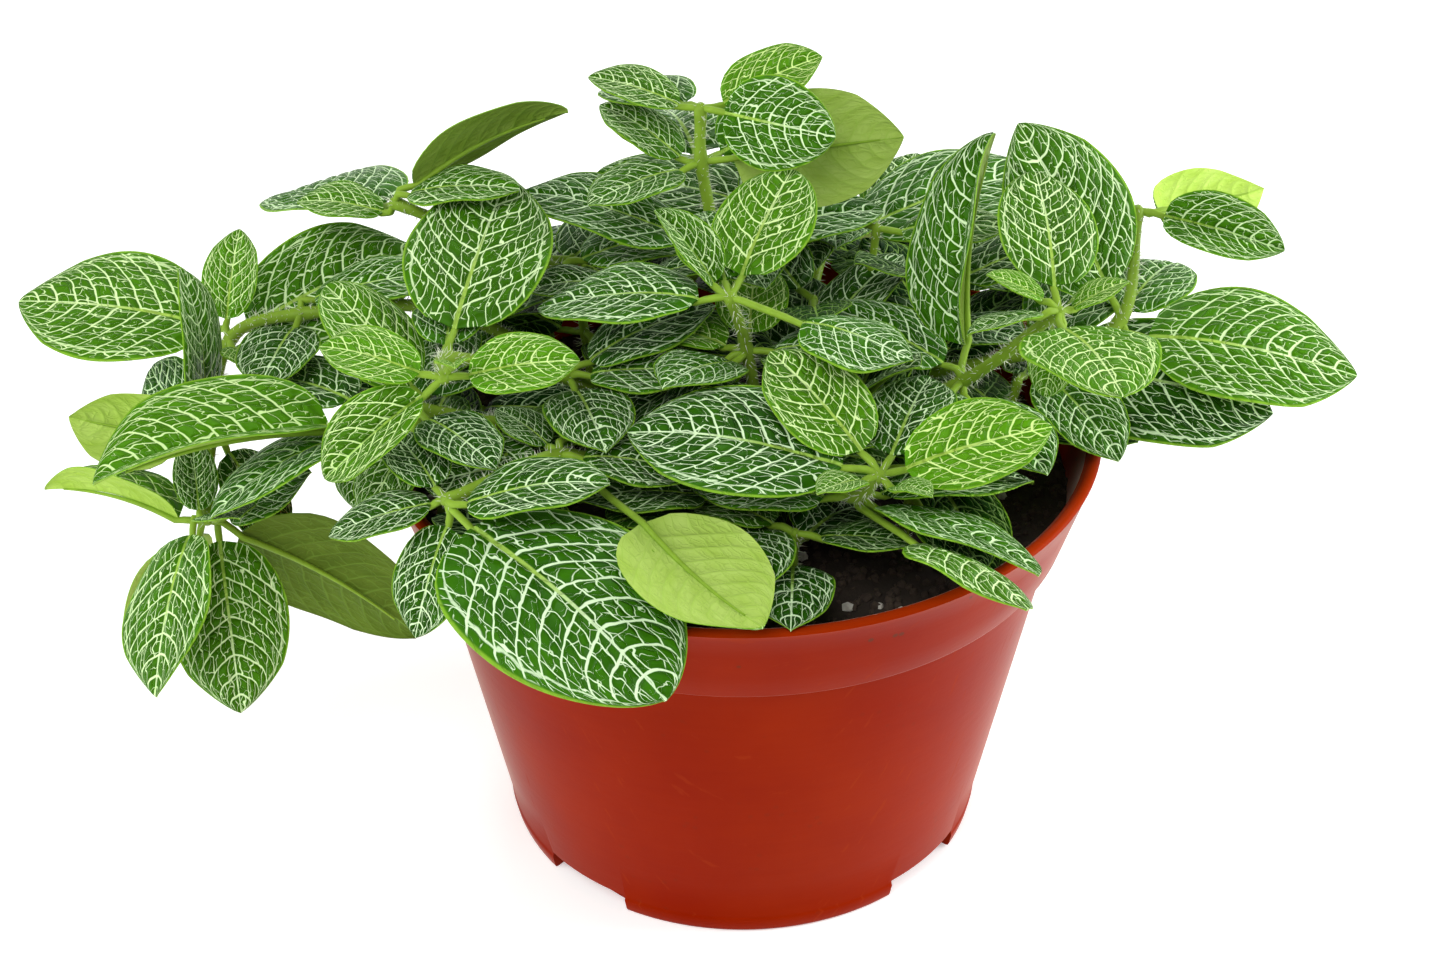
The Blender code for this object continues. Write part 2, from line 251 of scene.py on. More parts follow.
# Each shoot as the frame has it: where it is rooted, how its stem walks on from joint to joint
# (heading, level reach, height of the joint), and the rows of its leaves. The fill leaves are
# small, and only this script has them.
SHOOTS = {
    "left_trail": {
        "root": (-30, 8),
        "walk": ((165, 34, 118), (175, 34, 116), (195, 16, 112), (260, 18, 98), (270, 14, 86)),
        "leaves": (
            ("far_left", 3, 165, 0, -20, 46, "open", 0.45),
            ("left_return", 3, 30, 20, 25, 44, "open", 0.3),
            ("left_blade", 4, 105, 65, 65, 34, "open", 0.3),
            ("left_under", 4, 165, 0, 150, 28, "open", 0.6),
            ("left_shade", 4, 130, 10, -50, 27, "open", 0.0),
            ("hanging_front", 5, 282, -52, 0, 38, "open", 0.35),
            ("hanging_outer", 5, 200, -66, 60, 36, "young", 0.6),
            ("hanging_left", 5, 255, -50, 30, 37, "open", 0.35),
            # Its low youth gives it the dark old underside: partly painted shade, where it hangs in shade.
            ("hanging_back", 5, 355, -45, -80, 46, "open", 0.05),
            ("left_reach", 5, 165, 15, 30, 32, "folded", 0.7),
        ),
        "fill": (
            ("left_upright", 3, 80, 45, 0, 21, "young", 0.6),
            ("left_tip_outer", 5, 120, 35, 0, 16, "young", 0.3),
            ("left_tip_front", 5, 300, 30, 0, 20, "open", 0.2),
            ("left_underneath", 2, 260, -20, 0, 26),
            ("left_cover", 2, 10, 10, 0, 30, "open", 0.15),
            ("left_along_front", 1, 270, 10, 0, 24),
            ("left_twig", 3, 300, 20, 0, 16, "young", 0.7),
            ("left_tip_up", 5, 340, 50, 20, 22),
            ("left_tip_low", 4, 300, -35, 0, 24),
        ),
    },
    "left_low": {
        "root": (-26, -12),
        "walk": ((190, 42, 116), (155, 14, 110)),
        "leaves": (
            ("long_left", 2, 185, -6, 0, 51, "folded", 0.55),
            ("left_middle", 2, 150, -8, 0, 32),
            ("left_lower", 2, 210, -18, 15, 33, "open", 0.05),
            ("shoulder_left", 1, 145, 38, 0, 28, "round", 0.55),
        ),
        "fill": (
            ("left_low_under", 1, 240, -35, 0, 22, "open", 0.3),
            ("left_low_inner", 1, 310, -10, 0, 24, "open", 0.05),
            ("left_low_back", 1, 60, -5, 0, 26, "open", 0.05),
            ("left_low_hang", 2, 260, -50, 0, 15, "open", 0.2),
        ),
    },
    "upper_left": {
        "root": (-16, 0),
        "walk": ((200, 22, 116), (205, 26, 128), (270, 14, 132)),
        "leaves": (
            ("crown_left", 2, 78, 15, 5, 46, "open", 0.3),
            ("lime_fold", 3, 190, -40, -40, 28, "folded", 0.6),
        ),
        "fill": (
            ("new_left", 3, 165, 8, -20, 22, "young", 0.75),
            ("new_right", 3, 5, 5, 30, 23, "young", 0.75),
            ("upper_front", 1, 285, 5, 0, 28),
            ("upper_inner", 1, 20, 15, 0, 30, "open", 0.05),
            ("upper_low", 1, 340, -5, 0, 28),
            ("upper_back", 2, 120, -25, 0, 24),
            ("upper_bud", 3, 280, 30, 0, 12, "young", 0.9),
        ),
    },
    "back_left": {
        "root": (-12, 22),
        "walk": ((170, 28, 122), (175, 36, 138)),
        "leaves": (
            ("back_blade", 2, 15, 20, -50, 38, "young", 0.3),
            ("back_inner", 2, 345, 10, 0, 26, "open", 0.3),
            ("back_far_left", 2, 130, -20, 0, 46),
            ("back_left_low", 1, 105, -20, 0, 50, "open", 0.05),
        ),
        "fill": (
            ("back_new", 2, 170, 12, -10, 20, "young", 0.5),
            ("back_left_fill", 1, 20, 10, 0, 30),
            ("back_left_shade", 1, 220, -5, 0, 28, "open", 0.05),
            ("back_left_up", 1, 60, 25, 0, 28),
        ),
    },
    "back_centre": {
        "root": (-2, 24),
        "walk": ((150, 4, 130), (135, 4, 148), (90, 2, 160)),
        "leaves": (
            ("top_middle", 2, 45, 2, 45, 30, "open", 0.2),
            ("top_broad", 2, 355, 10, -115, 38, "open", 0.54),
            ("top_rear", 2, 100, -15, 0, 50),
            ("back_middle", 1, 170, 12, 0, 38, "open", 0.05),
        ),
        "fill": (
            ("top_right", 3, 15, 20, 25, 24, "young", 0.85),
            ("top_left", 3, 165, 12, -10, 21, "young", 0.4),
            ("top_small", 2, 150, 20, 0, 22, "open", 0.3),
            ("top_face", 3, 330, -8, 62, 27, "round", 0.2),
            ("top_behind", 3, 140, -14, 0, 28),
            ("top_left_low", 2, 205, 8, 0, 24, "open", 0.25),
            ("back_centre_right", 1, 10, 5, 0, 32, "open", 0.05),
            ("back_centre_low", 1, 290, 10, 0, 26, "open", 0.05),
        ),
    },
    "centre": {
        "root": (4, -4),
        "walk": ((225, 4, 122), (235, 6, 138)),
        "leaves": (
            ("centre_round", 2, 65, 25, 0, 29, "round", 0.6),
            ("centre_left", 2, 168, -10, 0, 36),
            ("centre_fall", 2, 328, -2, 0, 26, "twisted", 0.1),
        ),
        "fill": (
            ("centre_curl", 2, 160, 50, -20, 20, "folded", 0.4),
            ("centre_new_right", 1, 85, 18, 0, 21, "round", 0.75),
            ("centre_new_left", 1, 150, 25, 0, 26, "young", 0.7),
            ("centre_low_left", 1, 175, 0, 0, 30, "open", 0.05),
            ("centre_low_front", 1, 215, -5, 0, 26),
            ("centre_low_right", 1, 350, 8, 0, 28, "open", 0.05),
            ("centre_back", 2, 110, 5, 0, 26),
        ),
    },
    "front_centre": {
        "root": (8, -18),
        "walk": ((300, 28, 109), (300, 10, 120)),
        "leaves": (
            ("middle_wide", 2, 162, -1, -12, 46, "open", 0.05),
            ("middle_lime", 2, 130, 20, -10, 30, "open", 0.6),
            ("front_right_new", 2, 10, 12, 30, 31, "young", 0.85),
            ("front_right_low", 1, 15, -6, -15, 34),
            ("front_right_edge", 1, 335, -2, -25, 38),
            ("front_right_under", 1, 315, -8, -32, 33, "stalked", 0.4),
        ),
        "fill": (
            ("front_bud", 2, 215, 35, 0, 14, "young", 0.6),
            ("front_right_behind", 2, 50, -6, 0, 28),
            ("front_behind", 1, 170, -2, 0, 28, "open", 0.05),
            ("front_small", 1, 205, 58, 0, 17, "young", 0.5),
            ("front_bud_right", 2, 320, 20, 0, 12, "young", 0.6),
        ),
    },
    "right": {
        "root": (26, 2),
        "walk": ((330, 24, 116), (335, 20, 138)),
        "leaves": (
            ("right_tall", 1, 75, 55, -50, 46, "folded", 0.15),
            ("right_back", 2, 95, 28, 10, 29, "round", 0.4),
            ("right_front", 2, 282, 10, 0, 36, "round", 0.6),
        ),
        "fill": (
            ("right_new_left", 2, 165, 20, 0, 13, "young", 0.8),
            ("right_new_right", 2, 15, 20, 0, 13, "young", 0.8),
            ("right_small", 2, 200, -5, 20, 17, "open", 0.3),
            ("right_drop", 2, 240, -30, 0, 14, "round", 0.6),
            ("right_inner", 1, 150, 10, 0, 30, "open", 0.05),
            ("right_under", 1, 300, -5, 0, 28, "open", 0.05),
            ("right_low_front", 1, 240, 5, 0, 26),
        ),
    },
    "far_right": {
        "root": (30, 14),
        "walk": ((340, 36, 116), (10, 18, 122), (75, 16, 140)),
        "leaves": (
            ("right_crown", 2, 145, 54, -30, 41, "open", 0.25),
            ("right_wide", 1, 348, -8, 30, 46, "open", 0.05),
            ("right_tip", 2, 352, -8, 20, 46, "open", 0.35),
            ("right_fold", 3, 340, -8, 45, 27, "folded", 0.3),
            ("right_curl", 3, 30, -5, -140, 30, "young", 0.8),
        ),
        "fill": (
            ("far_right_low", 1, 300, -15, 0, 28),
            ("far_right_back", 1, 60, 5, 0, 32),
            ("far_right_rear", 2, 40, -5, 0, 30, "open", 0.15),
            ("far_right_bud", 3, 160, 20, 0, 14, "young", 0.7),
        ),
    },
    "front_left": {
        "root": (-20, -24),
        "walk": ((210, 20, 114), (210, 26, 112)),
        "leaves": (
            ("front_great", 2, 314, -12, 5, 58, "round", 0.0),
            ("front_inner", 1, 180, -12, -30, 25, "open", 0.15),
            ("front_pale", 1, 310, -12, 180, 38, "stalked", 0.6),
        ),
        "fill": (
            ("front_drop", 2, 240, -55, 0, 24),
            ("front_step", 1, 60, 22, 0, 22, "open", 0.15),
            ("front_tiny_left", 1, 150, 12, 0, 15, "open", 0.15),
            ("front_dark", 1, 350, -5, 0, 26),
            ("front_left_edge", 2, 190, -15, 0, 22),
            ("front_left_up", 2, 120, 15, 0, 20),
            ("front_cover", 2, 35, 12, 0, 30),
        ),
    },
    "rear": {
        "root": (14, 34),
        "walk": ((75, 26, 114), (80, 24, 106)),
        "leaves": (
            ("rear_right", 1, 20, 5, 0, 52),
            ("rear_left", 1, 160, 5, 0, 50, "open", 0.15),
            ("rear_drop", 2, 100, -45, 0, 48),
        ),
        "fill": (
            ("rear_new_left", 2, 165, 10, 0, 26, "young", 0.7),
            ("rear_new_right", 2, 20, 10, 0, 26, "young", 0.7),
            ("rear_up", 1, 90, 25, 0, 30, "open", 0.2),
            ("rear_inner", 1, 270, 20, 0, 28),
        ),
    },
}

# Short shoots that fill the middle, which only this script has: where each is rooted, the heading
# of its lowest pair of leaves and the height of its tip. Each next pair stands crosswise.
UNDERGROWTH = (
    (-46, -30, 20, 112),
    (-34, 30, 60, 122),
    (-20, 14, 100, 126),
    (-2, -34, 0, 106),
    (-8, -10, 45, 120),
    (12, 8, 30, 124),
    (20, -12, 80, 118),
    (10, 46, 10, 120),
    (34, -30, 35, 108),
    (40, 20, 120, 122),
    (56, -4, 60, 112),
    (46, 44, 150, 112),
    (-44, 44, 40, 112),
    (-60, 4, 70, 108),
    (-14, 56, 90, 112),
    (26, 24, 75, 132),
    (38, -18, 40, 108),
    (10, -46, 0, 104),
    (-30, -48, 60, 106),
    (-64, -22, 10, 110),
    (62, 22, 60, 112),
    (-30, 62, 20, 110),
    (34, 62, 70, 110),
)


def colour_setting(name, description, default):
    """A colour among the settings."""
    return FloatVectorProperty(name=name, description=description, subtype="COLOR", default=default)


class PotSettings(bpy.types.PropertyGroup):
    """Sizes and colours of the pot and its soil."""

    sides: IntProperty(name="Sides", description="Sides of the turned pot", default=160, min=48)
    plastic: colour_setting("Plastic", "Terracotta plastic", (0.215, 0.0085, 0.0003))
    # The paler colour is the worn mottling and also the painted highlight on the lip.
    pale_and_lip_highlight: colour_setting("Pale and lip highlight", "Paler, worn plastic, and the painted highlight on the lip", (0.33, 0.026, 0.0015))
    soil: colour_setting("Soil", "Damp potting mix", (0.022, 0.014, 0.009))
    crumbs: FloatProperty(name="Crumbs", description="Soil crumbs on a square metre", default=170000.0)
    perlite: FloatProperty(name="Perlite", description="Perlite grains on a square metre", default=3500.0)


class StemSettings(bpy.types.PropertyGroup):
    """Sizes and colours of the stems and their hairs."""

    green: colour_setting("Green", "Stem skin", (0.20, 0.34, 0.022))
    hair_length: FloatProperty(name="Hair length", description="Stem hair", default=0.0019, unit="LENGTH")
    hair_density: FloatProperty(name="Hair density", description="Hairs on a square metre", default=700000.0)


class LeafSettings(bpy.types.PropertyGroup):
    """Detail and colours of the leaves."""

    vein_pairs: IntProperty(name="Vein pairs", description="Side veins on each half", default=9, min=4)
    rows: IntProperty(name="Rows", description="Mesh rows between side veins", default=6, min=2)
    columns: IntProperty(name="Columns", description="Mesh columns on each half", default=11, min=4)
    quilting: FloatProperty(name="Quilting", description="Bulge in leaf lengths", default=0.011)
    old_green: colour_setting("Old green", "Old blade", (0.003, 0.036, 0.0003))
    # The light green is painted reflection in the blade's noise patches, and the leaf's own paler green on
    # the margin.
    old_light_and_reflection: colour_setting("Old light green", "Lighter green: painted reflection patches and the margin", (0.040, 0.175, 0.002))
    new_green: colour_setting("New green", "New blade", (0.085, 0.26, 0.004))
    old_vein: colour_setting("Old vein", "Net on an old blade", (0.76, 0.98, 0.62))
    new_vein: colour_setting("New vein", "Net on a new blade", (0.76, 1.0, 0.30))


class StageSettings(bpy.types.PropertyGroup):
    """The floor, the lights and the camera."""

    floor: colour_setting("Floor", "Floor", (0.92, 0.92, 0.92))
    lens: FloatProperty(name="Lens", description="Camera lens in millimetres", default=70.0)
    lamp: FloatProperty(name="Lamp", description="Power of the main lamp", default=8.4, unit="POWER")


class NervePlantSettings(bpy.types.PropertyGroup):
    """All the settings of the potted nerve plant."""

    pot: PointerProperty(type=PotSettings)
    stem: PointerProperty(type=StemSettings)
    leaf: PointerProperty(type=LeafSettings)
    stage: PointerProperty(type=StageSettings)


# --- Nodes ---------------------------------------------------------------------------------------


class Value:
    """A number from a node; sums on it put Math nodes in its tree."""

    def __init__(self, tree, socket):
        self.tree, self.socket = tree, socket

    def math(self, operation, *others):
        """The number from a Math node on this one and the others."""
        made = node(self.tree, "ShaderNodeMath", enumerate((self, *others)), operation=operation)
        return Value(self.tree, made.outputs[0])

    def __add__(self, other):
        return self.math("ADD", other)

    def __sub__(self, other):
        return self.math("SUBTRACT", other)

    def __mul__(self, other):
        return self.math("MULTIPLY", other)

    def __abs__(self):
        return self.math("ABSOLUTE")


def node(tree, kind, inputs=(), **settings):
    """A new node: its settings, then its inputs, each a plain value or something to link from."""
    made = tree.nodes.new(kind)
    for key, value in settings.items():
        setattr(made, key, value)
    for key, value in dict(inputs).items():
        source = value.socket if isinstance(value, Value) else value
        if isinstance(source, bpy.types.NodeSocket):
            tree.links.new(source, made.inputs[key])
        else:
            made.inputs[key].default_value = source
    return made


def most(first, *others):
    """The largest of the numbers."""
    for other in others:
        first = first.math("MAXIMUM", other)
    return first


def least(first, *others):
    """The smallest of the numbers."""
    for other in others:
        first = first.math("MINIMUM", other)
    return first


def clamped(value):
    """The number kept between 0 and 1."""
    return Value(value.tree, node(value.tree, "ShaderNodeClamp", {0: value}).outputs[0])


def falling(value, full, none):
    """1 where the value is under full, 0 where it is over none, smooth between."""
    inputs = {"Value": value, "From Min": full, "From Max": none, "To Min": 1.0, "To Max": 0.0}
    made = node(value.tree, "ShaderNodeMapRange", inputs, interpolation_type="SMOOTHSTEP")
    return Value(value.tree, made.outputs[0])


def blended(share, one, other):
    """The colour between two colours."""
    return node(share.tree, "ShaderNodeMix", {0: share, 6: one, 7: other}, data_type="RGBA").outputs[2]


def noise_of(tree, vector, scale, detail=3.0):
    """The value of a noise texture at a vector."""
    inputs = {"Vector": vector, "Scale": scale, "Detail": detail}
    return Value(tree, node(tree, "ShaderNodeTexNoise", inputs).outputs["Fac"])


def cell_edge_distance(tree, dimensions, inputs):
    """How far a place is from the edges of random cells."""
    settings = {"feature": "DISTANCE_TO_EDGE", "voronoi_dimensions": dimensions}
    return Value(tree, node(tree, "ShaderNodeTexVoronoi", inputs, **settings).outputs["Distance"])


def parts_of(tree, vector):
    """The three numbers of a vector."""
    parts = node(tree, "ShaderNodeSeparateXYZ", {0: vector}).outputs
    return [Value(tree, part) for part in parts]


def attribute_parts(tree, attribute):
    """The three numbers of a vector attribute."""
    return parts_of(tree, node(tree, "ShaderNodeAttribute", attribute_name=attribute).outputs["Vector"])


def joined(tree, x, y, z):
    """A vector of three numbers."""
    return node(tree, "ShaderNodeCombineXYZ", {0: x, 1: y, 2: z}).outputs[0]


def opaque(colour, gain=1.0):
    """A colour times a gain, with full alpha."""
    return (*(c * gain for c in colour), 1.0)


def new_material(name):
    """A material and its node tree."""
    made = bpy.data.materials.new(name)
    made.use_nodes = True
    return made, made.node_tree


def object_place(tree):
    """Where a point is in the object's own space."""
    return node(tree, "ShaderNodeTexCoord").outputs["Object"]


def dressed(made, colour, rough, relief=None, levels=None):
    """The material with its shader's colour, roughness, relief (height, strength, depth) and levels."""
    tree = made.node_tree
    shader = tree.nodes["Principled BSDF"]
    tree.links.new(colour, shader.inputs["Base Color"])
    if isinstance(rough, Value):
        tree.links.new(rough.socket, shader.inputs["Roughness"])
    else:
        shader.inputs["Roughness"].default_value = rough
    if relief:
        bump = node(tree, "ShaderNodeBump", dict(zip(("Height", "Strength", "Distance"), relief)))
        tree.links.new(bump.outputs[0], shader.inputs["Normal"])
    for title, level in (levels or {}).items():
        shader.inputs[title].default_value = level
    return made


# --- Finishes ------------------------------------------------------------------------------------


def vein_masks(tree):
    """Masks of the veins' net and of the midrib, the leaf's own measures and the cells' bulge."""
    vein, run, pairs = attribute_parts(tree, "vein_place")
    along, offset, across = attribute_parts(tree, "blade_place")
    seed = attribute_parts(tree, "leaf_look")[2]
    outward = abs(across)
    place = joined(tree, vein, run, seed * 40.0)
    wobble = noise_of(tree, place, 1.5, 1.0) - 0.5
    bent = wobble * SIDE_VEIN_WOBBLE + vein

    from_side = abs(bent - bent.math("ROUND"))
    side_width = outward * -0.014 + SIDE_VEIN_WIDTH
    side = falling(from_side, side_width * 0.6, side_width)
    side = side * vein.math("GREATER_THAN", 0.5) * vein.math("LESS_THAN", pairs - 0.5)
    from_edge = abs(wobble * 0.12 + outward - EDGE_VEIN_PLACE)
    edge_vein = falling(from_edge, 0.008, 0.022)

    middle_width = along * -0.09 + MIDRIB_WIDTH
    middle = falling(abs(offset) * pairs, middle_width * 0.55, middle_width)

    strip = bent.math("FLOOR") * 7.31
    warp = noise_of(tree, place, 1.3, 1.0) - 0.5
    rung = run * RUNGS_PER_SPACE + strip + warp * 1.1 + seed * 57.0
    from_rung = cell_edge_distance(tree, "1D", {"W": rung, "Scale": 1.0, "Randomness": 0.8})
    rungs = falling(from_rung, 0.030, 0.054)

    warp = node(tree, "ShaderNodeTexNoise", {"Vector": place, "Scale": 2.0, "Detail": 1.0}).outputs["Color"]
    inputs = {0: warp, 1: (0.3, 0.3, 0.0), 2: place}
    warped = node(tree, "ShaderNodeVectorMath", inputs, operation="MULTIPLY_ADD").outputs[0]
    x, y, _ = parts_of(tree, warped)
    flat = joined(tree, seed * 91.0 + x, y, 0.0)
    from_spur = cell_edge_distance(tree, "2D", {"Vector": flat, "Scale": SPUR_CELLS, "Randomness": 0.85})
    patches = noise_of(tree, warped, 1.5, 1.0)
    width = falling(patches, 0.40, 0.52) * SPUR_WIDTH + 0.002
    spurs = falling(from_spur, width * 0.4, width)
    between = (noise_of(tree, place, 3.2, 1.0) * 0.9 + vein - 0.45).math("FRACT") - 0.5
    width = falling(patches, 0.60, 0.50) * HALFWAY_WIDTH + 0.002
    halfway = falling(abs(between), width * 0.4, width)

    net = most(edge_vein * 0.85, most(spurs, halfway) * 0.9, rungs, side) * falling(outward, 0.93, 0.965)
    pillow = falling(least(from_side, from_rung, from_spur * 1.2 + 0.06), 0.24, 0.0)
    return net, middle, outward, along, place, pillow


def leaf_upper_material(look):
    """The blade's upper side: green cells between whitish veins, paler on young leaves; painted reflection
    patches, painted shade on the undergrowth.
    """
    made, tree = new_material("Leaf upper side")
    net, middle, outward, along, place, pillow = vein_masks(tree)
    youth, tone_and_painted_shade, _ = attribute_parts(tree, "leaf_look")
    green = blended(youth, opaque(look.old_green), opaque(look.new_green))
    light = blended(youth, opaque(look.old_light_and_reflection), opaque(look.new_green, 1.35))
    # The noise patches of lighter green are painted reflection off the quilted blade, the lighter margin is
    # the leaf's own, and the undergrowth's low tone is painted shade.
    shade = noise_of(tree, place, 0.9) * 1.3 - 0.45 + tone_and_painted_shade * 0.5 + falling(outward, 1.0, 0.72) * 0.35
    blade = blended(clamped(shade), green, light)
    vein = blended(youth, opaque(look.old_vein), opaque(look.new_vein))
    # The undergrowth's low tone dims its veins: painted shade.
    vein = blended(falling(tone_and_painted_shade, -0.6, 0.0), vein, PAINTED_SHADE_VEIN)
    colour = blended(net * 0.93, blade, vein)
    rib = blended(youth, OLD_RIB, NEW_RIB)
    rib = blended(falling(along, 0.30, 0.75), vein, rib)
    colour = blended(falling(outward, 0.985, 0.955) * 0.8, colour, LEAF_MARGIN)
    colour = blended(middle, colour, rib)
    lines = most(net, middle)
    grain = noise_of(tree, place, 22.0) * 0.10
    height = lines * -0.25 + grain + pillow
    return dressed(made, colour, lines * 0.12 + 0.36, (height, 0.6, 0.0010), {"Specular IOR Level": 0.07})


def leaf_under_material():
    """The blade's underside: pale matt green with low raised veins."""
    made, tree = new_material("Leaf underside")
    net, middle, outward, _, place, pillow = vein_masks(tree)
    youth, tone_and_painted_shade, _ = attribute_parts(tree, "leaf_look")
    green = blended(youth, OLD_UNDER_GREEN_AND_SHADE, NEW_UNDER_GREEN)
    pale = blended(youth, OLD_UNDER_PALE_AND_SHADE, NEW_UNDER_PALE)
    # The undergrowth's low tone darkens its undersides: painted shade.
    shade = noise_of(tree, place, 0.8) * 1.2 - 0.35 + tone_and_painted_shade * 0.4
    raised = blended(youth, OLD_UNDER_VEIN, NEW_UNDER_VEIN)
    colour = blended(net * 0.32, blended(clamped(shade), green, pale), raised)
    colour = blended(middle * 0.8, colour, raised)
    height = pillow * -0.8 + most(net, middle)
    return dressed(made, colour, outward * 0.08 + 0.52, (height, 0.3, 0.0008), {"Specular IOR Level": 0.08})


def green_skin_material(look, name, gain):
    """The skin of stems and petioles: yellow green, streaked along their length."""
    made, tree = new_material(name)
    place = object_place(tree)
    streak = noise_of(tree, place, 420.0, 4.0)
    colour = blended(streak, opaque(look.green, 0.72 * gain), opaque(look.green, 1.25 * gain))
    levels = {"Specular IOR Level": 0.2, "Sheen Weight": 0.05}
    return dressed(made, colour, streak * 0.2 + 0.38, (streak, 0.25, 0.0003), levels)


def hair_material():
    """Fine pale translucent hairs."""
    made, tree = new_material("Stem hair")
    place = object_place(tree)
    colour = blended(noise_of(tree, place, 900.0), (0.62, 0.70, 0.45, 1.0), (0.86, 0.90, 0.76, 1.0))
    return dressed(made, colour, 0.5)


def pot_material(look):
    """Moulded terracotta plastic: satin, faintly mottled, scuffed, with soil specks under the rim and a
    painted highlight on the lip.
    """
    made, tree = new_material("Terracotta plastic")
    place = object_place(tree)
    height = parts_of(tree, place)[2]
    cloud = noise_of(tree, place, 22.0, 5.0)
    stretched = node(tree, "ShaderNodeMapping", {"Vector": place, "Scale": (1.0, 1.0, 9.0)}).outputs[0]
    rings = noise_of(tree, stretched, 60.0, 4.0)
    # The top of the lip turns to the paler colour: a painted highlight where the rim catches the light.
    lip = falling(height, POT_HEIGHT * MM, (POT_HEIGHT - 2.4) * MM)
    share = clamped(cloud * 1.1 - 0.42 + rings * 0.14 + lip * 0.75)
    colour = blended(share, opaque(look.plastic), opaque(look.pale_and_lip_highlight))

    cells = node(tree, "ShaderNodeTexVoronoi", {"Vector": place, "Scale": 330.0}).outputs["Distance"]
    band = falling(height, (POT_HEIGHT - 0.5) * MM, (POT_HEIGHT - BAND_HEIGHT) * MM)
    specks = falling(Value(tree, cells), 0.16, 0.24) * falling(noise_of(tree, place, 70.0), 0.40, 0.47)
    colour = blended(specks * (band * 0.7 + 0.10), colour, SOIL_SPECK)

    inputs = {"Vector": place, "Rotation": (0.7, 0.3, 0.2), "Scale": (1.0, 14.0, 1.0)}
    streaks = node(tree, "ShaderNodeMapping", inputs).outputs[0]
    scratch = falling(noise_of(tree, streaks, 90.0, 6.0), 0.30, 0.36)
    colour = blended(scratch * 0.06, colour, SCRATCHED_PLASTIC)
    rough = cloud * 0.16 + 0.27 + scratch * 0.15
    grain = noise_of(tree, place, 900.0) * 0.35 + rings * 0.6
    levels = {
        "Specular IOR Level": 0.03,
        "Specular Tint": (1.0, 0.22, 0.04, 1.0),
        "Sheen Weight": 0.4,
        "Sheen Roughness": 0.22,
        "Sheen Tint": (1.0, 0.80, 0.68, 1.0),
    }
    return dressed(made, colour, rough, (grain, 0.10, 0.0004), levels)


def soil_material(look, name, low, high):
    """Damp crumbly potting mix, or the grains in it."""
    made, tree = new_material(name)
    place = object_place(tree)
    share = noise_of(tree, place, 260.0, 6.0)
    colour = blended(share, opaque(look.soil, low), opaque(look.soil, high))
    return dressed(made, colour, 0.88, (share, 0.7, 0.0012))


def perlite_material():
    """Chalky white perlite, a little soiled."""
    made, tree = new_material("Perlite")
    place = object_place(tree)
    share = noise_of(tree, place, 600.0, 5.0)
    colour = blended(share, (0.30, 0.27, 0.22, 1.0), (0.80, 0.78, 0.72, 1.0))
    return dressed(made, colour, 0.9, (share, 0.6, 0.0006))


def floor_material(look):
    """Pale, faintly clouded paper that glows a little."""
    made, tree = new_material("Pale floor")
    place = object_place(tree)
    colour = blended(noise_of(tree, place, 3.0), opaque(look.floor, 0.97), opaque(look.floor))
    levels = {
        "Emission Strength": FLOOR_GLOW,
        "Emission Color": (1, 1, 1, 1),
        "Specular IOR Level": 0.1,
    }
    return dressed(made, colour, 0.75, levels=levels)


# --- Shapes --------------------------------------------------------------------------------------


def mesh_object(name, points, faces, materials, slots=None, smooth=True):
    """An object at the origin from points in millimetres."""
    mesh = bpy.data.meshes.new(name)
    mesh.from_pydata((np.asarray(points, float) * MM).tolist(), [], faces)
    for material in materials:
        mesh.materials.append(material)
    if slots is not None:
        mesh.polygons.foreach_set("material_index", slots)
    if smooth:
        mesh.shade_smooth()
    made = bpy.data.objects.new(name, mesh)
    bpy.context.scene.collection.objects.link(made)
    return made


def settled(piece, slot, *nodes):
    """Ride the piece on the plant's body and hide the frame's parts that it stands for; the slot is not
    used.
    """
    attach(piece, BODY)
    if nodes:
        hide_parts(*nodes)


def plain_copy(source, name):
    """The evaluated source as a plain mesh object; the source goes."""
    graph = bpy.context.evaluated_depsgraph_get()
    graph.update()
    mesh = bpy.data.meshes.new_from_object(source.evaluated_get(graph), depsgraph=graph)
    mesh.name = name
    bpy.data.objects.remove(source)
    made = bpy.data.objects.new(name, mesh)
    bpy.context.scene.collection.objects.link(made)
    return made


def grow(source, tree, values):
    """Put a geometry tree on the source, its named inputs set by their identifiers."""
    modifier = source.modifiers.new(tree.name, "NODES")
    modifier.node_group = tree
    for item in tree.interface.items_tree:
        if item.item_type == "SOCKET" and item.in_out == "INPUT" and item.name in values:
            modifier[item.identifier] = values[item.name]
    return source


def geometry_tree(name, inputs):
    """A geometry tree with named inputs, and its input and output nodes."""
    tree = bpy.data.node_groups.new(name, "GeometryNodeTree")
    tree.interface.new_socket("Geometry", in_out="INPUT", socket_type="NodeSocketGeometry")
    for title, kind, default in inputs:
        made = tree.interface.new_socket(title, in_out="INPUT", socket_type=kind)
        if default is not None:
            made.default_value = default
    tree.interface.new_socket("Geometry", in_out="OUTPUT", socket_type="NodeSocketGeometry")
    return tree, tree.nodes.new("NodeGroupInput").outputs, tree.nodes.new("NodeGroupOutput").inputs


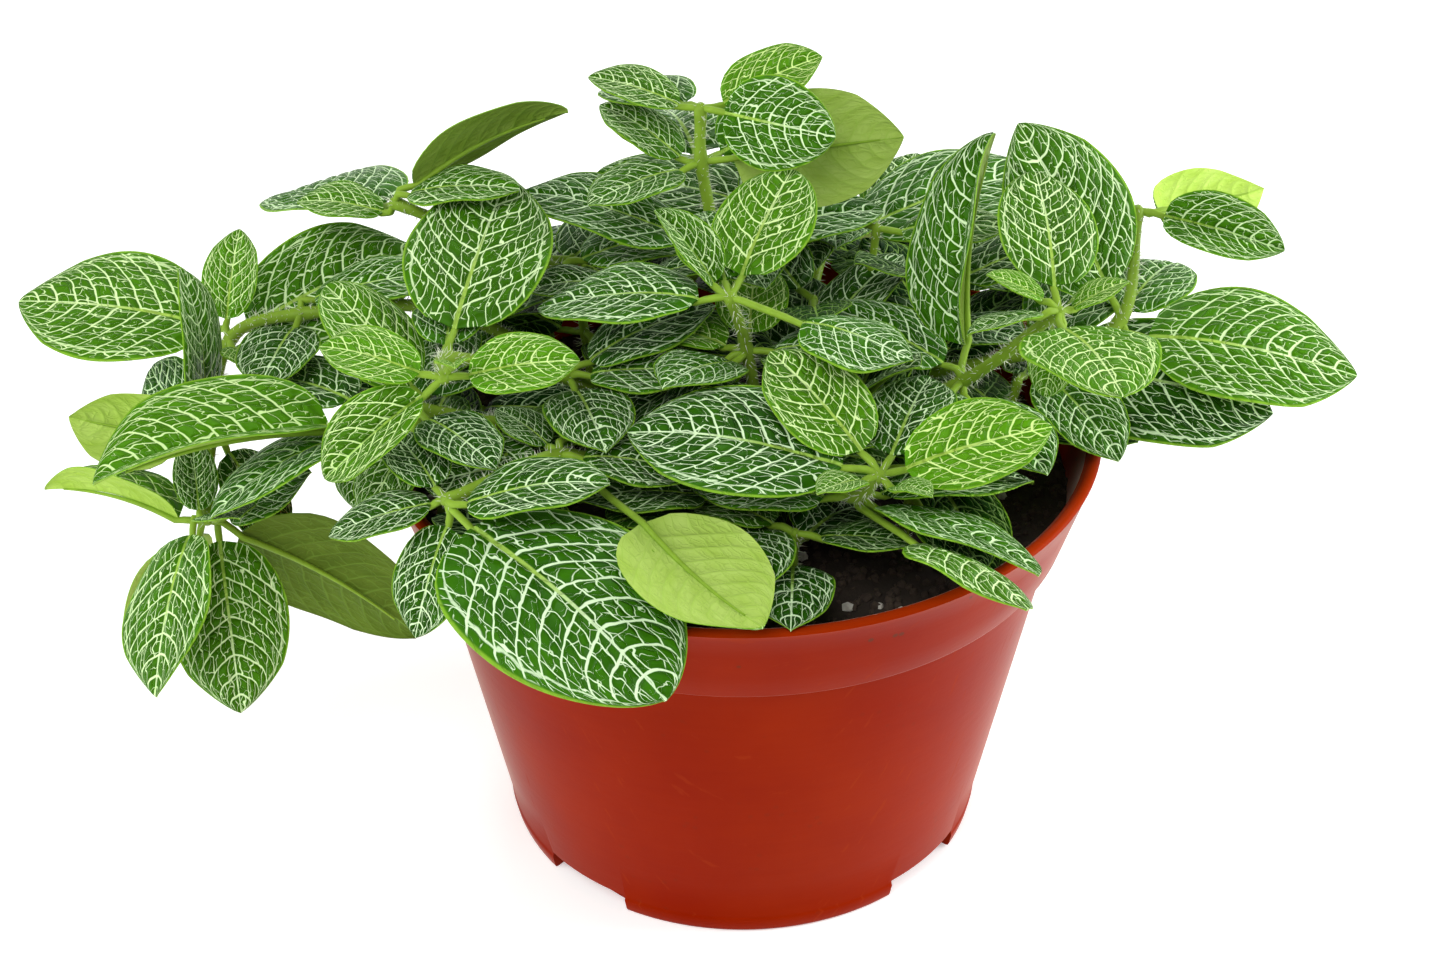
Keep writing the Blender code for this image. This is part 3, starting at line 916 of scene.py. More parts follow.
def turned(profile, sides):
    """Points and faces of a profile of (radius, height), turned about Z; both ends lie on the axis."""
    turn = np.arange(sides) * 2 * pi / sides
    ring = np.stack([np.cos(turn), np.sin(turn)], 1)
    points = [np.array([[0, 0, profile[0][1]]])]
    points += [np.column_stack([ring * radius, np.full(sides, height)]) for radius, height in profile[1:-1]]
    points.append(np.array([[0, 0, profile[-1][1]]]))
    points = np.concatenate(points)
    faces = []
    rings = len(profile) - 2
    for k in range(sides):
        after = (k + 1) % sides
        faces.append((0, 1 + after, 1 + k))
        for low in range(1, 1 + (rings - 1) * sides, sides):
            faces.append((low + k, low + after, low + sides + after, low + sides + k))
        top = 1 + (rings - 1) * sides
        faces.append((top + k, top + after, len(points) - 1))
    return points, faces


def wall_radius(height):
    """Outer radius of the tapered wall between the foot and the band."""
    share = height / (POT_HEIGHT - BAND_HEIGHT)
    return FOOT_RADIUS - FOOT_STEP + (WALL_TOP_RADIUS - FOOT_RADIUS + FOOT_STEP) * share


def band_radius(height):
    """Outer radius of the flared band under the rim."""
    share = (height - POT_HEIGHT + BAND_HEIGHT) / BAND_HEIGHT
    return BAND_LOW_RADIUS + (RIM_RADIUS - BAND_LOW_RADIUS) * share


def soil_height(x, y):
    """Height of the soil's uneven, slightly crowned top."""
    edge = band_radius(SOIL_EDGE_HEIGHT)
    crown = SOIL_CROWN * (1 - (x * x + y * y) / edge**2)
    return SOIL_EDGE_HEIGHT + crown + SOIL_LUMP * noise.noise(Vector((x, y, 0)) * SOIL_LUMPS_PER_MM)


def outward_normals(made):
    """Turn the faces of a closed mesh outwards."""
    shape = bmesh.new()
    shape.from_mesh(made.data)
    bmesh.ops.remove_doubles(shape, verts=shape.verts, dist=1e-6)
    bmesh.ops.recalc_face_normals(shape, faces=shape.faces)
    shape.to_mesh(made.data)
    shape.free()


def build_pot(look):
    """The turned pot with its rounded lip, step, foot ring and drain notches."""
    ledge = POT_HEIGHT - BAND_HEIGHT
    lip = POT_HEIGHT - LIP_ROUND
    lip_half = (WALL + LIP_ROUND) / 2
    wall_rows = [(wall_radius(z), z) for z in np.linspace(FOOT_HEIGHT + FOOT_STEP, ledge - 0.8, 8)]
    band_rows = [(band_radius(z), z) for z in np.linspace(ledge + 0.8, lip, 4)]
    arc = [
        (RIM_RADIUS - lip_half + lip_half * cos(a), lip + LIP_ROUND * sin(a))
        for a in np.linspace(0.1 * pi, 0.9 * pi, 7)
    ]
    profile = [
        (0, 0),
        (FOOT_RADIUS - 1, 0),
        (FOOT_RADIUS - 0.3, 0.3),
        (FOOT_RADIUS, 1),
        (FOOT_RADIUS + FOOT_STEP * 0.9, FOOT_HEIGHT - 0.3),
        (FOOT_RADIUS + FOOT_STEP * 0.7, FOOT_HEIGHT + 0.1),
        *wall_rows,
        (wall_radius(ledge), ledge - 0.2),
        (wall_radius(ledge) + 0.5, ledge),
        (band_radius(ledge) - 0.4, ledge + 0.1),
        (band_radius(ledge), ledge + 0.4),
        *band_rows,
        *arc,
        (band_radius(lip) - WALL - LIP_ROUND, lip),
        (band_radius(ledge + WALL) - WALL, ledge + WALL),
        (wall_radius(ledge) - WALL, ledge),
        (wall_radius(FLOOR) - WALL, FLOOR),
        (0, FLOOR),
    ]
    pot = mesh_object("moulded_pot", *turned(profile, look.sides), [pot_material(look)])
    outward_normals(pot)
    for k in range(NOTCH_COUNT):
        angle = radians(NOTCH_FIRST_ANGLE + 360 / NOTCH_COUNT * k)
        bpy.ops.mesh.primitive_cube_add(size=1)
        cutter = bpy.context.object
        cutter.scale = [side * MM for side in NOTCH_SIZE]
        cutter.rotation_euler.z = angle
        cutter.location = Vector((cos(angle), sin(angle), 0)) * FOOT_RADIUS * MM
        cut = pot.modifiers.new("notch", "BOOLEAN")
        cut.operation = "DIFFERENCE"
        cut.object = cutter
    bpy.context.view_layer.update()
    cutters = [cut.object for cut in pot.modifiers]
    pot = plain_copy(pot, "moulded_pot")
    for cutter in cutters:
        bpy.data.objects.remove(cutter)
    pot.data.shade_smooth()
    pot.data.set_sharp_from_angle(angle=radians(SHARP_EDGE))
    settled(pot, "pot_plastic", "pot")


def crumb_tree():
    """A geometry tree that scatters angular crumbs on a surface."""
    tree, given, result = geometry_tree(
        "Scattered crumbs",
        (
            ("Density", "NodeSocketFloat", 1000.0),
            ("Smallest", "NodeSocketFloat", 0.0004),
            ("Largest", "NodeSocketFloat", 0.0016),
            ("Seed", "NodeSocketInt", 1),
            ("Material", "NodeSocketMaterial", None),
        ),
    )
    inputs = {"Mesh": given["Geometry"], "Density": given["Density"], "Seed": given["Seed"]}
    points = node(tree, "GeometryNodeDistributePointsOnFaces", inputs)
    grain = node(tree, "GeometryNodeMeshIcoSphere", {"Radius": 1.0, "Subdivisions": 1}).outputs["Mesh"]
    where = node(tree, "GeometryNodeInputPosition").outputs[0]
    push = node(tree, "ShaderNodeTexNoise", {"Vector": where, "Scale": 1.7}).outputs["Color"]
    push = node(tree, "ShaderNodeVectorMath", {0: push, 1: (0.5, 0.5, 0.5)}, operation="SUBTRACT").outputs[0]
    grain = node(tree, "GeometryNodeSetPosition", {"Geometry": grain, "Offset": push}).outputs[0]
    inputs = {2: given["Smallest"], 3: given["Largest"], "Seed": given["Seed"]}
    size = node(tree, "FunctionNodeRandomValue", inputs, data_type="FLOAT").outputs[1]
    inputs = {0: (0, 0, 0), 1: (6.3, 6.3, 6.3)}
    turn = node(tree, "FunctionNodeRandomValue", inputs, data_type="FLOAT_VECTOR").outputs[0]
    inputs = {"Points": points.outputs["Points"], "Instance": grain, "Rotation": turn, "Scale": size}
    grains = node(tree, "GeometryNodeInstanceOnPoints", inputs).outputs[0]
    grains = node(tree, "GeometryNodeRealizeInstances", {0: grains}).outputs[0]
    inputs = {"Geometry": grains, "Material": given["Material"]}
    tree.links.new(node(tree, "GeometryNodeSetMaterial", inputs).outputs[0], result[0])
    return tree


def build_soil(look):
    """The soil's body, its fine lumpy top, and scattered crumbs and perlite."""
    edge = band_radius(SOIL_EDGE_HEIGHT) - WALL - GAP
    ledge = POT_HEIGHT - BAND_HEIGHT + WALL + GAP
    top_rows = [(edge * share, SOIL_EDGE_HEIGHT) for share in np.linspace(1, 0.03, SOIL_RINGS)]
    profile = [
        (0, SOIL_LOW.z),
        (wall_radius(FLOOR) - WALL - GAP, SOIL_LOW.z),
        (wall_radius(ledge - WALL) - WALL - GAP, ledge - WALL),
        (wall_radius(ledge - WALL) - WALL - GAP, ledge),
        (band_radius(ledge) - WALL - GAP, ledge),
        *top_rows,
        (0, SOIL_EDGE_HEIGHT),
    ]
    points, faces = turned(profile, SOIL_SIDES)
    for point in points:
        x, y, height = point
        if height == SOIL_EDGE_HEIGHT:
            rough = SOIL_ROUGHNESS * noise.fractal(Vector((x, y, 3)) * SOIL_GRAINS_PER_MM, 1.0, 2.0, 4)
            point[2] = soil_height(x, y) + rough
    body = mesh_object("soil_body", points, faces, [soil_material(look, "Potting soil", 0.7, 1.6)])
    outward_normals(body)
    tree = crumb_tree()
    scatters = (
        ("soil_crumbs", look.crumbs, 0.0004, 0.0013, 3, soil_material(look, "Soil crumbs", 0.6, 3.2)),
        ("perlite_grains", look.perlite, 0.0006, 0.0015, 8, perlite_material()),
    )
    cap_faces = [f for f in faces if min(points[k][2] for k in f) > SOIL_EDGE_HEIGHT - 3]
    for name, density, smallest, largest, seed, finish in scatters:
        top = mesh_object(name, points, cap_faces, [finish])
        values = {"Density": density, "Smallest": smallest, "Largest": largest, "Seed": seed}
        settled(plain_copy(grow(top, tree, {**values, "Material": finish}), name), "soil")
    settled(body, "soil", "potting_soil")


# --- Stems ---------------------------------------------------------------------------------------


def stem_joints(shoot):
    """The joints of a shoot's stem, from the one straight over its root to its tip."""
    x, y = shoot["root"]
    joints = [Vector((x, y, FIRST_JOINT_HEIGHT))]
    for heading, reach, height in shoot["walk"]:
        turn = radians(heading)
        x, y = x + reach * cos(turn), y + reach * sin(turn)
        joints.append(Vector((x, y, height)))
    return joints


def stem_route(joints, steps):
    """Smooth points through a stem's joints, from inside the soil to its tip."""
    x, y, _ = joints[0]
    ground = soil_height(x, y)
    knots = [Vector((x, y, ground - STEM_DEPTH)), Vector((x, y, ground + SOIL_COLLAR)), *joints]
    padded = [knots[0] * 2 - knots[1], *knots, knots[-1] * 2 - knots[-2]]
    route = [knots[0]]
    for a, b, c, d in zip(padded, padded[1:], padded[2:], padded[3:]):
        for k in range(1, steps + 1):
            t = k / steps
            along = (c - a) * t + (2 * a - 5 * b + 4 * c - d) * t**2 + (3 * b - a - 3 * c + d) * t**3
            route.append(b + along / 2)
    return route


def tube(route, radii, sides=10):
    """Points and faces of a closed round tube along a route."""
    route = [Vector(p) for p in route]
    points, faces = [], []
    across = None
    for k, middle in enumerate(route):
        way = (route[min(k + 1, len(route) - 1)] - route[max(k - 1, 0)]).normalized()
        if across is None:
            across = way.orthogonal().normalized()
        across = (across - way * across.dot(way)).normalized()
        other = way.cross(across)
        for j in range(sides):
            turn = 2 * pi * j / sides
            points.append(middle + (across * cos(turn) + other * sin(turn)) * radii[k])
    for low in range(0, len(points) - sides, sides):
        for j in range(sides):
            after = (j + 1) % sides
            faces.append((low + j, low + after, low + sides + after, low + sides + j))
    faces.append(tuple(range(sides))[::-1])
    faces.append(tuple(range(len(points) - sides, len(points))))
    return points, faces


def stem_tree(skin, hair):
    """A geometry tree that makes a route a round stem with fine hairs."""
    tree, given, result = geometry_tree(
        "Hairy stem",
        (
            ("Hair density", "NodeSocketFloat", 1000.0),
            ("Hair length", "NodeSocketFloat", 0.001),
            ("Seed", "NodeSocketInt", 1),
            ("Skin", "NodeSocketMaterial", skin),
            ("Hair", "NodeSocketMaterial", hair),
        ),
    )
    path = node(tree, "GeometryNodeMeshToCurve", {0: given["Geometry"]}).outputs[0]
    inputs = {"Name": "thickness"}
    thick = node(tree, "GeometryNodeInputNamedAttribute", inputs, data_type="FLOAT").outputs[0]
    ring = node(tree, "GeometryNodeCurvePrimitiveCircle", {"Resolution": 12, "Radius": 1.0}).outputs[0]
    inputs = {"Curve": path, "Profile Curve": ring, "Scale": thick, "Fill Caps": True}
    stem = node(tree, "GeometryNodeCurveToMesh", inputs).outputs[0]
    stem = node(tree, "GeometryNodeSetMaterial", {"Geometry": stem, "Material": given["Skin"]}).outputs[0]

    inputs = {"Mesh": stem, "Density": given["Hair density"], "Seed": given["Seed"]}
    points = node(tree, "GeometryNodeDistributePointsOnFaces", inputs)
    inputs = {"Vertices": 3, "Radius Top": 0.0, "Radius Bottom": 0.05, "Depth": 1.0}
    hairs = node(tree, "GeometryNodeMeshCone", inputs, fill_type="NONE").outputs["Mesh"]
    lean = {0: (-0.4, -0.4, -3.1), 1: (0.4, 0.4, 3.1), "Seed": given["Seed"]}
    lean = node(tree, "FunctionNodeRandomValue", lean, data_type="FLOAT_VECTOR").outputs[0]
    inputs = {0: points.outputs["Rotation"], 1: lean}
    turn = node(tree, "FunctionNodeRotateRotation", inputs, rotation_space="LOCAL").outputs[0]
    size = {2: 0.4, 3: 1.25, "Seed": given["Seed"]}
    size = node(tree, "FunctionNodeRandomValue", size, data_type="FLOAT").outputs[1]
    size = Value(tree, size) * given["Hair length"]
    inputs = {"Points": points.outputs["Points"], "Instance": hairs, "Rotation": turn, "Scale": size}
    hairs = node(tree, "GeometryNodeInstanceOnPoints", inputs).outputs[0]
    hairs = node(tree, "GeometryNodeSetMaterial", {"Geometry": hairs, "Material": given["Hair"]}).outputs[0]

    both = node(tree, "GeometryNodeJoinGeometry")
    for part in (hairs, stem):
        tree.links.new(part, both.inputs[0])
    whole = node(tree, "GeometryNodeRealizeInstances", {0: both.outputs[0]}).outputs[0]
    tree.links.new(whole, result[0])
    return tree


def grown_stem(tree, look, name, joints, thick, number):
    """A stem, thicker at its joints, with its hairs."""
    route = stem_route(joints, STEM_STEPS)
    radii = []
    for k, place in enumerate(route):
        near = min((place - joint).length for joint in joints)
        swelling = JOINT_SWELLING * max(0.0, 1 - near / SWELLING_REACH)
        radii.append(thick * (1.0 - STEM_TAPER * k / len(route) + swelling))
    tip = (route[-1] - route[-2]).normalized()
    for step, share in ((0.7, 0.7), (1.2, 0.35)):
        route.append(joints[-1] + tip * step)
        radii.append(thick * share)
    path = bpy.data.meshes.new(name)
    path.from_pydata([p * MM for p in route], [(k, k + 1) for k in range(len(route) - 1)], [])
    radius = path.attributes.new("thickness", "FLOAT", "POINT")
    radius.data.foreach_set("value", [r * MM for r in radii])
    source = bpy.data.objects.new(name, path)
    bpy.context.scene.collection.objects.link(source)
    values = {"Hair density": look.hair_density, "Hair length": look.hair_length, "Seed": number}
    stem = plain_copy(grow(source, tree, values), f"{name}_hairy_stem")
    stem.data.shade_smooth()
    return stem


def undergrowth_joints(x, y, height):
    """The joints of a short shoot, straight up from its root with a slight lean outwards."""
    lean = UNDERGROWTH_LEAN * (height - SOIL_EDGE_HEIGHT)
    far = max(1.0, hypot(x, y))
    steps = 3 if height > UNDERGROWTH_TALL else 2
    joints = []
    for k in range(steps + 1):
        share = k / steps
        out = 1 + lean * share / far
        level = UNDERGROWTH_FIRST_JOINT + (height - UNDERGROWTH_FIRST_JOINT) * share
        joints.append(Vector((x * out, y * out, level)))
    return joints


def build_stems(look):
    """The stem of each shoot and of the undergrowth."""
    tree = stem_tree(green_skin_material(look, "Stem skin", 1.0), hair_material())
    for number, (name, shoot) in enumerate(SHOOTS.items()):
        stem = grown_stem(tree, look, name, stem_joints(shoot), STEM_RADIUS, number)
        settled(stem, "stem", f"{name}_stem")
    for number, (x, y, _, height) in enumerate(UNDERGROWTH):
        joints = undergrowth_joints(x, y, height)
        thick = STEM_RADIUS * UNDERGROWTH_THICKNESS
        seed = UNDERGROWTH_HAIR_SEED + number
        stem = grown_stem(tree, look, f"undergrowth_{number + 1}", joints, thick, seed)
        settled(stem, "stem")


# --- Leaves --------------------------------------------------------------------------------------


def half_width(share):
    """Half the blade's width at a share of its length, as a share of its greatest half width."""
    widest = BASE_FULLNESS / (BASE_FULLNESS + TIP_FULLNESS)
    share = np.clip(share, 0, 1)
    return (share / widest) ** BASE_FULLNESS * ((1 - share) / (1 - widest)) ** TIP_FULLNESS


class Blade:
    """The place of one leaf: where its blade starts, which way it runs, faces and bends."""

    def __init__(self, joints, leaf):
        self.form, self.length, self.youth = leaf.form, leaf.length, leaf.youth
        ratio, petiole, fold, droop = FORMS[leaf.form]
        h, r, turn = radians(leaf.heading), radians(leaf.rise), radians(leaf.roll)
        self.root = joints[leaf.joint]
        stem_way = (self.root - joints[leaf.joint - 1]).normalized()
        along = Vector((cos(h) * cos(r), sin(h) * cos(r), sin(r)))
        axil = (along - stem_way * along.dot(stem_way)).normalized()
        level = along.cross(Vector((0, 0, 1))).normalized()
        face = level.cross(along)
        self.face = np.array(face * cos(turn) + level * sin(turn))
        self.side = np.array(level * cos(turn) - face * sin(turn))
        self.along = np.array(along)
        self.start = np.array(self.root + axil * (STEM_RADIUS + 2 * GAP + PETIOLE_HALF_WIDTH))
        self.base = self.start + self.along * leaf.length * petiole
        self.half = leaf.length * ratio / 2
        self.fold = radians(fold)
        self.bend = radians(droop)

    def spine(self, share):
        """Middle points and ups of the blade at shares of its length."""
        angle = self.bend * (0.5 - np.atleast_1d(share))[:, None]
        reach = self.along * (sin(self.bend / 2) - np.sin(angle))
        reach += self.face * (np.cos(angle) - cos(self.bend / 2))
        middle = self.base + self.length / self.bend * reach
        return middle, self.face * np.cos(angle) - self.along * np.sin(angle)

    def place(self, share, width, across, lift):
        """Points of the blade: at shares of its length, at parts of a half width, and lifted off it."""
        middle, up = self.spine(share)
        rise = width * (np.abs(across) * sin(self.fold) - MARGIN_CURL * across**2) + lift
        return middle + self.side * (across * width * cos(self.fold))[:, None] + up * rise[:, None]

    def rough(self, thickness):
        """Points and faces of the plain leaf that the frame has."""
        share, across = [a.ravel() for a in np.meshgrid(BLADE_STATIONS, BLADE_ACROSS, indexing="ij")]
        width = np.maximum(self.half * half_width(share), PETIOLE_HALF_WIDTH * (1 - share / 2))
        tiers = []
        for lift in (thickness / 2, -thickness / 2):
            flat = np.array(BLADE_ACROSS)[:, None]
            rise = PETIOLE_HALF_WIDTH * (np.abs(flat) * sin(self.fold) - MARGIN_CURL * flat**2) + lift
            first = self.start + self.side * flat * PETIOLE_HALF_WIDTH * cos(self.fold) + self.face * rise
            tiers.append(np.concatenate([first, self.place(share, width, across, lift)]))
        under = len(tiers[0])
        row = len(BLADE_ACROSS)
        faces = []
        for low in range(0, under - row, row):
            for k in range(low, low + row - 1):
                faces.append((k, k + 1, k + row + 1, k + row))
                faces.append(tuple(under + j for j in faces[-1]))
            for k in (low, low + row - 1):
                faces.append((k, k + row, under + k + row, under + k))
        return np.concatenate(tiers), faces


def tree_of(points, faces):
    """A tree for overlap tests, in metres."""
    return BVHTree.FromPolygons((np.asarray(points) * MM).tolist(), faces)


def turned_steps(joints, leaf, step):
    """The leaf as listed, then turned and lifted by ever larger steps."""
    turns = range(-MOST_TURN, MOST_TURN + 1, step)
    for turn, lift in sorted(product(turns, turns), key=lambda pair: pair[0] ** 2 + pair[1] ** 2):
        yield Blade(joints, leaf._replace(heading=leaf.heading + turn, rise=leaf.rise + lift))


def framed_blade(joints, leaf):
    """The blade as the frame settled it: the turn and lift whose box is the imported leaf's box."""
    low, high = (np.array(corner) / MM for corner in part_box(f"{leaf.name}_leaf"))
    best, miss = None, float("inf")
    for blade in turned_steps(joints, leaf, FRAME_TURN_STEP):
        points = blade.rough(BLADE_THICKNESS)[0]
        off = max(np.abs(points.min(0) - low).max(), np.abs(points.max(0) - high).max())
        if off < miss:
            best, miss = blade, off
    if miss > BOX_MISS:
        raise ValueError(f"{leaf.name}: its box is {miss:.2f} mm off the frame's")
    return best


def fill_blade(joints, leaf, others):
    """A small leaf's blade, turned by the smallest steps that keep it clear of what stands already.

    None where every turn meets something.
    """
    for blade in turned_steps(joints, leaf, FILL_TURN_STEP):
        shape = tree_of(*blade.rough(BLADE_THICKNESS + 2 * GAP))
        if not any(shape.overlap(other) for other in others):
            others.append(tree_of(*blade.rough(BLADE_THICKNESS)))
            return blade
    return None


def leaf_grid(blade, look, fine):
    """A blade's points in rows along its side veins: vein pairs, rows, and for each point its start
    at the midrib, its share of the length and its part of the half width."""
    per_vein = look.rows if fine else look.rows - 2
    columns = 2 * (look.columns if fine else look.columns - 3) + 1
    least_pairs = LEAST_VEIN_PAIRS if fine else LEAST_VEIN_PAIRS - 1
    pairs = max(least_pairs, round(look.vein_pairs * min(1.0, blade.length / FULL_VEIN_LENGTH)))
    even = np.arange(1, pairs * per_vein) / (pairs * per_vein)
    start = np.concatenate([[0.0001, 0.001, 0.005], even, [0.99, 0.998]])
    rows = len(start)
    start, across = np.meshgrid(start, np.linspace(-1, 1, columns), indexing="ij")
    start, across = start.ravel(), across.ravel()
    shifted = start + 0.05 * start * (1 - start) * np.tanh(6 * across)
    sweep = 0.40 * np.abs(across) + 0.60 * np.abs(across) ** 2
    share = shifted + 0.66 * shifted**0.3 * (1 - shifted) ** 0.8 * sweep
    return pairs, rows, start, np.minimum(share, 0.9995), across


def leaf_relief(blade, look, draw, from_vein, share, across, width):
    """How far points are lifted: pillows between the veins, waves of the margin, the midrib's channel."""
    inner = 1 - np.exp(-((across / 0.09) ** 2))
    pillow = (1 - (1 - 2 * from_vein) ** 3) * inner * (1 - np.abs(across) ** 6)
    phases = draw.uniform(0, 2 * pi, 4)
    strength = draw.uniform(0.3, 1.0)
    sides = np.where(across > 0, phases[0], phases[1])
    wave = np.sin(2 * pi * 1.5 * share + sides) * across**2 * 0.022 * strength
    wave += np.sin(2 * pi * 0.8 * share + phases[2]) * 0.007
    lift = look.quilting * pillow * (1 - 0.5 * share) + wave * np.minimum(1, 6 * share)
    return blade.length * lift - 0.35 * np.exp(-((across * width / 0.9) ** 2))


def leaf_faces(rows, columns):
    """Faces and slots of a closed blade: its upper side, its underside and its rim."""
    top = np.arange(rows * columns).reshape(rows, columns)
    low = top + rows * columns
    faces, slots = [], []

    def add(slot, *corners):
        made = np.stack([corner.ravel() for corner in corners], 1)
        faces.extend(made.tolist())
        slots.extend([slot] * len(made))

    add(0, top[:-1, :-1], top[:-1, 1:], top[1:, 1:], top[1:, :-1])
    add(1, low[:-1, :-1], low[1:, :-1], low[1:, 1:], low[:-1, 1:])
    add(0, top[:-1, 0], top[1:, 0], low[1:, 0], low[:-1, 0])
    add(0, top[:-1, -1], low[:-1, -1], low[1:, -1], top[1:, -1])
    add(0, top[0, :-1], low[0, :-1], low[0, 1:], top[0, 1:])
    add(0, top[-1, :-1], top[-1, 1:], low[-1, 1:], low[-1, :-1])
    return faces, slots


def petiole_shape(blade):
    """Points and faces of the petiole, which runs on under the blade as its rib."""
    shares = np.linspace(0.02, 0.86, 12)
    middle, up = blade.spine(shares)
    thin = (0.78 - 0.62 * shares) * (0.6 + blade.length / 110)
    root = np.array(blade.root)
    route = [root, blade.start * 0.5 + root * 0.5, blade.start]
    route += [blade.start * (1 - k) + (blade.base - blade.face * 0.5) * k for k in (0.35, 0.7)]
    route += list(middle - up * (thin + 0.38)[:, None])
    return tube(route, [0.75, 0.8, 0.85, 0.82, 0.8, *thin], 8)


def leaf_shape(blade, look, number, fine=True):
    """A finished leaf: points, faces, face slots (upper, under, petiole) and its pattern's numbers."""
    draw = np.random.default_rng(number)
    pairs, rows, start, share, across = leaf_grid(blade, look, fine)
    vein = pairs * start
    width = blade.half * half_width(share)
    if blade.form != "round":
        width *= np.minimum(1, (1 - share) / 0.25) ** 0.22
    lift = leaf_relief(blade, look, draw, np.abs(vein - np.round(vein)), share, across, width)
    thick = FINE_THICKNESS * (1 - 0.55 * np.abs(across) ** 4)
    top = blade.place(share, width, across, lift + thick / 2)
    low = blade.place(share, width, across, lift - thick / 2)
    petiole_points, petiole_faces = petiole_shape(blade)
    points = np.concatenate([top, low, np.array(petiole_points)])
    faces, slots = leaf_faces(rows, len(top) // rows)
    faces.extend(tuple(k + 2 * len(top) for k in face) for face in petiole_faces)
    slots.extend([2] * len(petiole_faces))

    tone_and_painted_shade, seed = draw.uniform(0, 1, 2)
    # The undergrowth's leaves, deep in the plant, get a lower tone: painted shade.
    tone_and_painted_shade -= 0 if fine else UNDERGROWTH_PAINTED_SHADE
    lines = blade.place(share, width, across, 0 * share).reshape(rows, -1, 3)
    run = np.cumsum(np.linalg.norm(np.diff(lines, axis=1), axis=2), axis=1)
    run = np.concatenate([np.zeros((rows, 1)), run], axis=1)
    run = (run - run[:, run.shape[1] // 2][:, None]).ravel() / blade.length
    numbers = {
        "vein_place": (vein, run * pairs, pairs),
        "blade_place": (share, across * width / blade.length, across),
        "leaf_look": (blade.youth, tone_and_painted_shade, seed),
    }
    table = {}
    for title, columns in numbers.items():
        table[title] = np.zeros((len(points), 3))
        for k, column in enumerate(columns):
            if np.ndim(column):
                table[title][: 2 * len(top), k] = np.tile(column, 2)
            else:
                table[title][:, k] = column
    return points, faces, slots, table


def leaf_object(name, shapes, materials):
    """One object of one or more leaf shapes."""
    points = np.concatenate([shape[0] for shape in shapes])
    faces, slots, base = [], [], 0
    for shape in shapes:
        faces.extend(tuple(k + base for k in face) for face in shape[1])
        slots.extend(shape[2])
        base += len(shape[0])
    made = mesh_object(name, points, faces, materials, slots)
    for title in shapes[0][3]:
        values = np.concatenate([shape[3][title] for shape in shapes])
        attribute = made.data.attributes.new(title, "FLOAT_VECTOR", "POINT")
        attribute.data.foreach_set("vector", values.ravel())
    made.data.set_sharp_from_angle(angle=radians(RIM_EDGE))
    return made


def standing_shapes():
    """A tree for overlap tests of each solid of the frame."""
    trees = []
    for solid in frame["nodes"].values():
        corners = [point.co for point in solid.data.vertices]
        trees.append(BVHTree.FromPolygons(corners, [tuple(face.vertices) for face in solid.data.polygons]))
    return trees


def undergrowth_leaves(joints, heading, draw):
    """The leaves of a short shoot, in crosswise pairs up its stem."""
    for joint in range(1, len(joints)):
        for half in (0, 180):
            spread, rise, roll, more, youth = draw.uniform(-1, 1, 5)
            yield Leaf(
                "undergrowth",
                joint,
                heading=heading + 90 * joint + half + 15 * spread,
                rise=14 + 12 * rise,
                roll=12 * roll,
                length=30 - 3 * joint + 4 * more,
                youth=max(0.0, 0.15 * youth + 0.2 * (joint == len(joints) - 1)),
            )


def small_leaves(joints, leaves, look, others, numbers, fine=True):
    """The shapes of those small leaves on a stem that find a clear place."""
    shapes = []
    for leaf in leaves:
        number = next(numbers)
        blade = fill_blade(joints, leaf, others)
        if blade:
            shapes.append(leaf_shape(blade, look, number, fine))
    return shapes


def build_leaves(look, materials):
    """Every leaf of the frame with its veins, and the small leaves that fill the plant."""
    numbers = count(1)
    for shoot in SHOOTS.values():
        for row in shoot["leaves"]:
            leaf = Leaf(*row)
            shape = leaf_shape(framed_blade(stem_joints(shoot), leaf), look, next(numbers))
            piece = leaf_object(f"{leaf.name}_blade", [shape], materials)
            settled(piece, "young_leaf" if leaf.youth >= YOUNG_FROM else "leaf", f"{leaf.name}_leaf")

    others = standing_shapes()
    small = {}
    for name, shoot in SHOOTS.items():
        leaves = [Leaf(*row) for row in shoot["fill"]]
        small[f"{name}_small_leaves"] = small_leaves(stem_joints(shoot), leaves, look, others, numbers)
    for place, (x, y, heading, height) in enumerate(UNDERGROWTH):
        joints = undergrowth_joints(x, y, height)
        draw = np.random.default_rng(UNDERGROWTH_LEAF_SEED + place)
        leaves = undergrowth_leaves(joints, heading, draw)
        shapes = small_leaves(joints, leaves, look, others, numbers, fine=False)
        small[f"undergrowth_{place + 1}_leaves"] = shapes
    for name, shapes in small.items():
        if shapes:
            settled(leaf_object(name, shapes, materials), "leaf")


# --- Stage ---------------------------------------------------------------------------------------


def area_light(name, place, target, size, power):
    """A soft white square lamp that looks at a point."""
    lamp = bpy.data.lights.new(name, "AREA")
    lamp.shape, lamp.size, lamp.energy = "SQUARE", size, power
    made = bpy.data.objects.new(name, lamp)
    made.location = place
    made.rotation_euler = (Vector(target) - Vector(place)).to_track_quat("-Z", "Y").to_euler()
    bpy.context.scene.collection.objects.link(made)


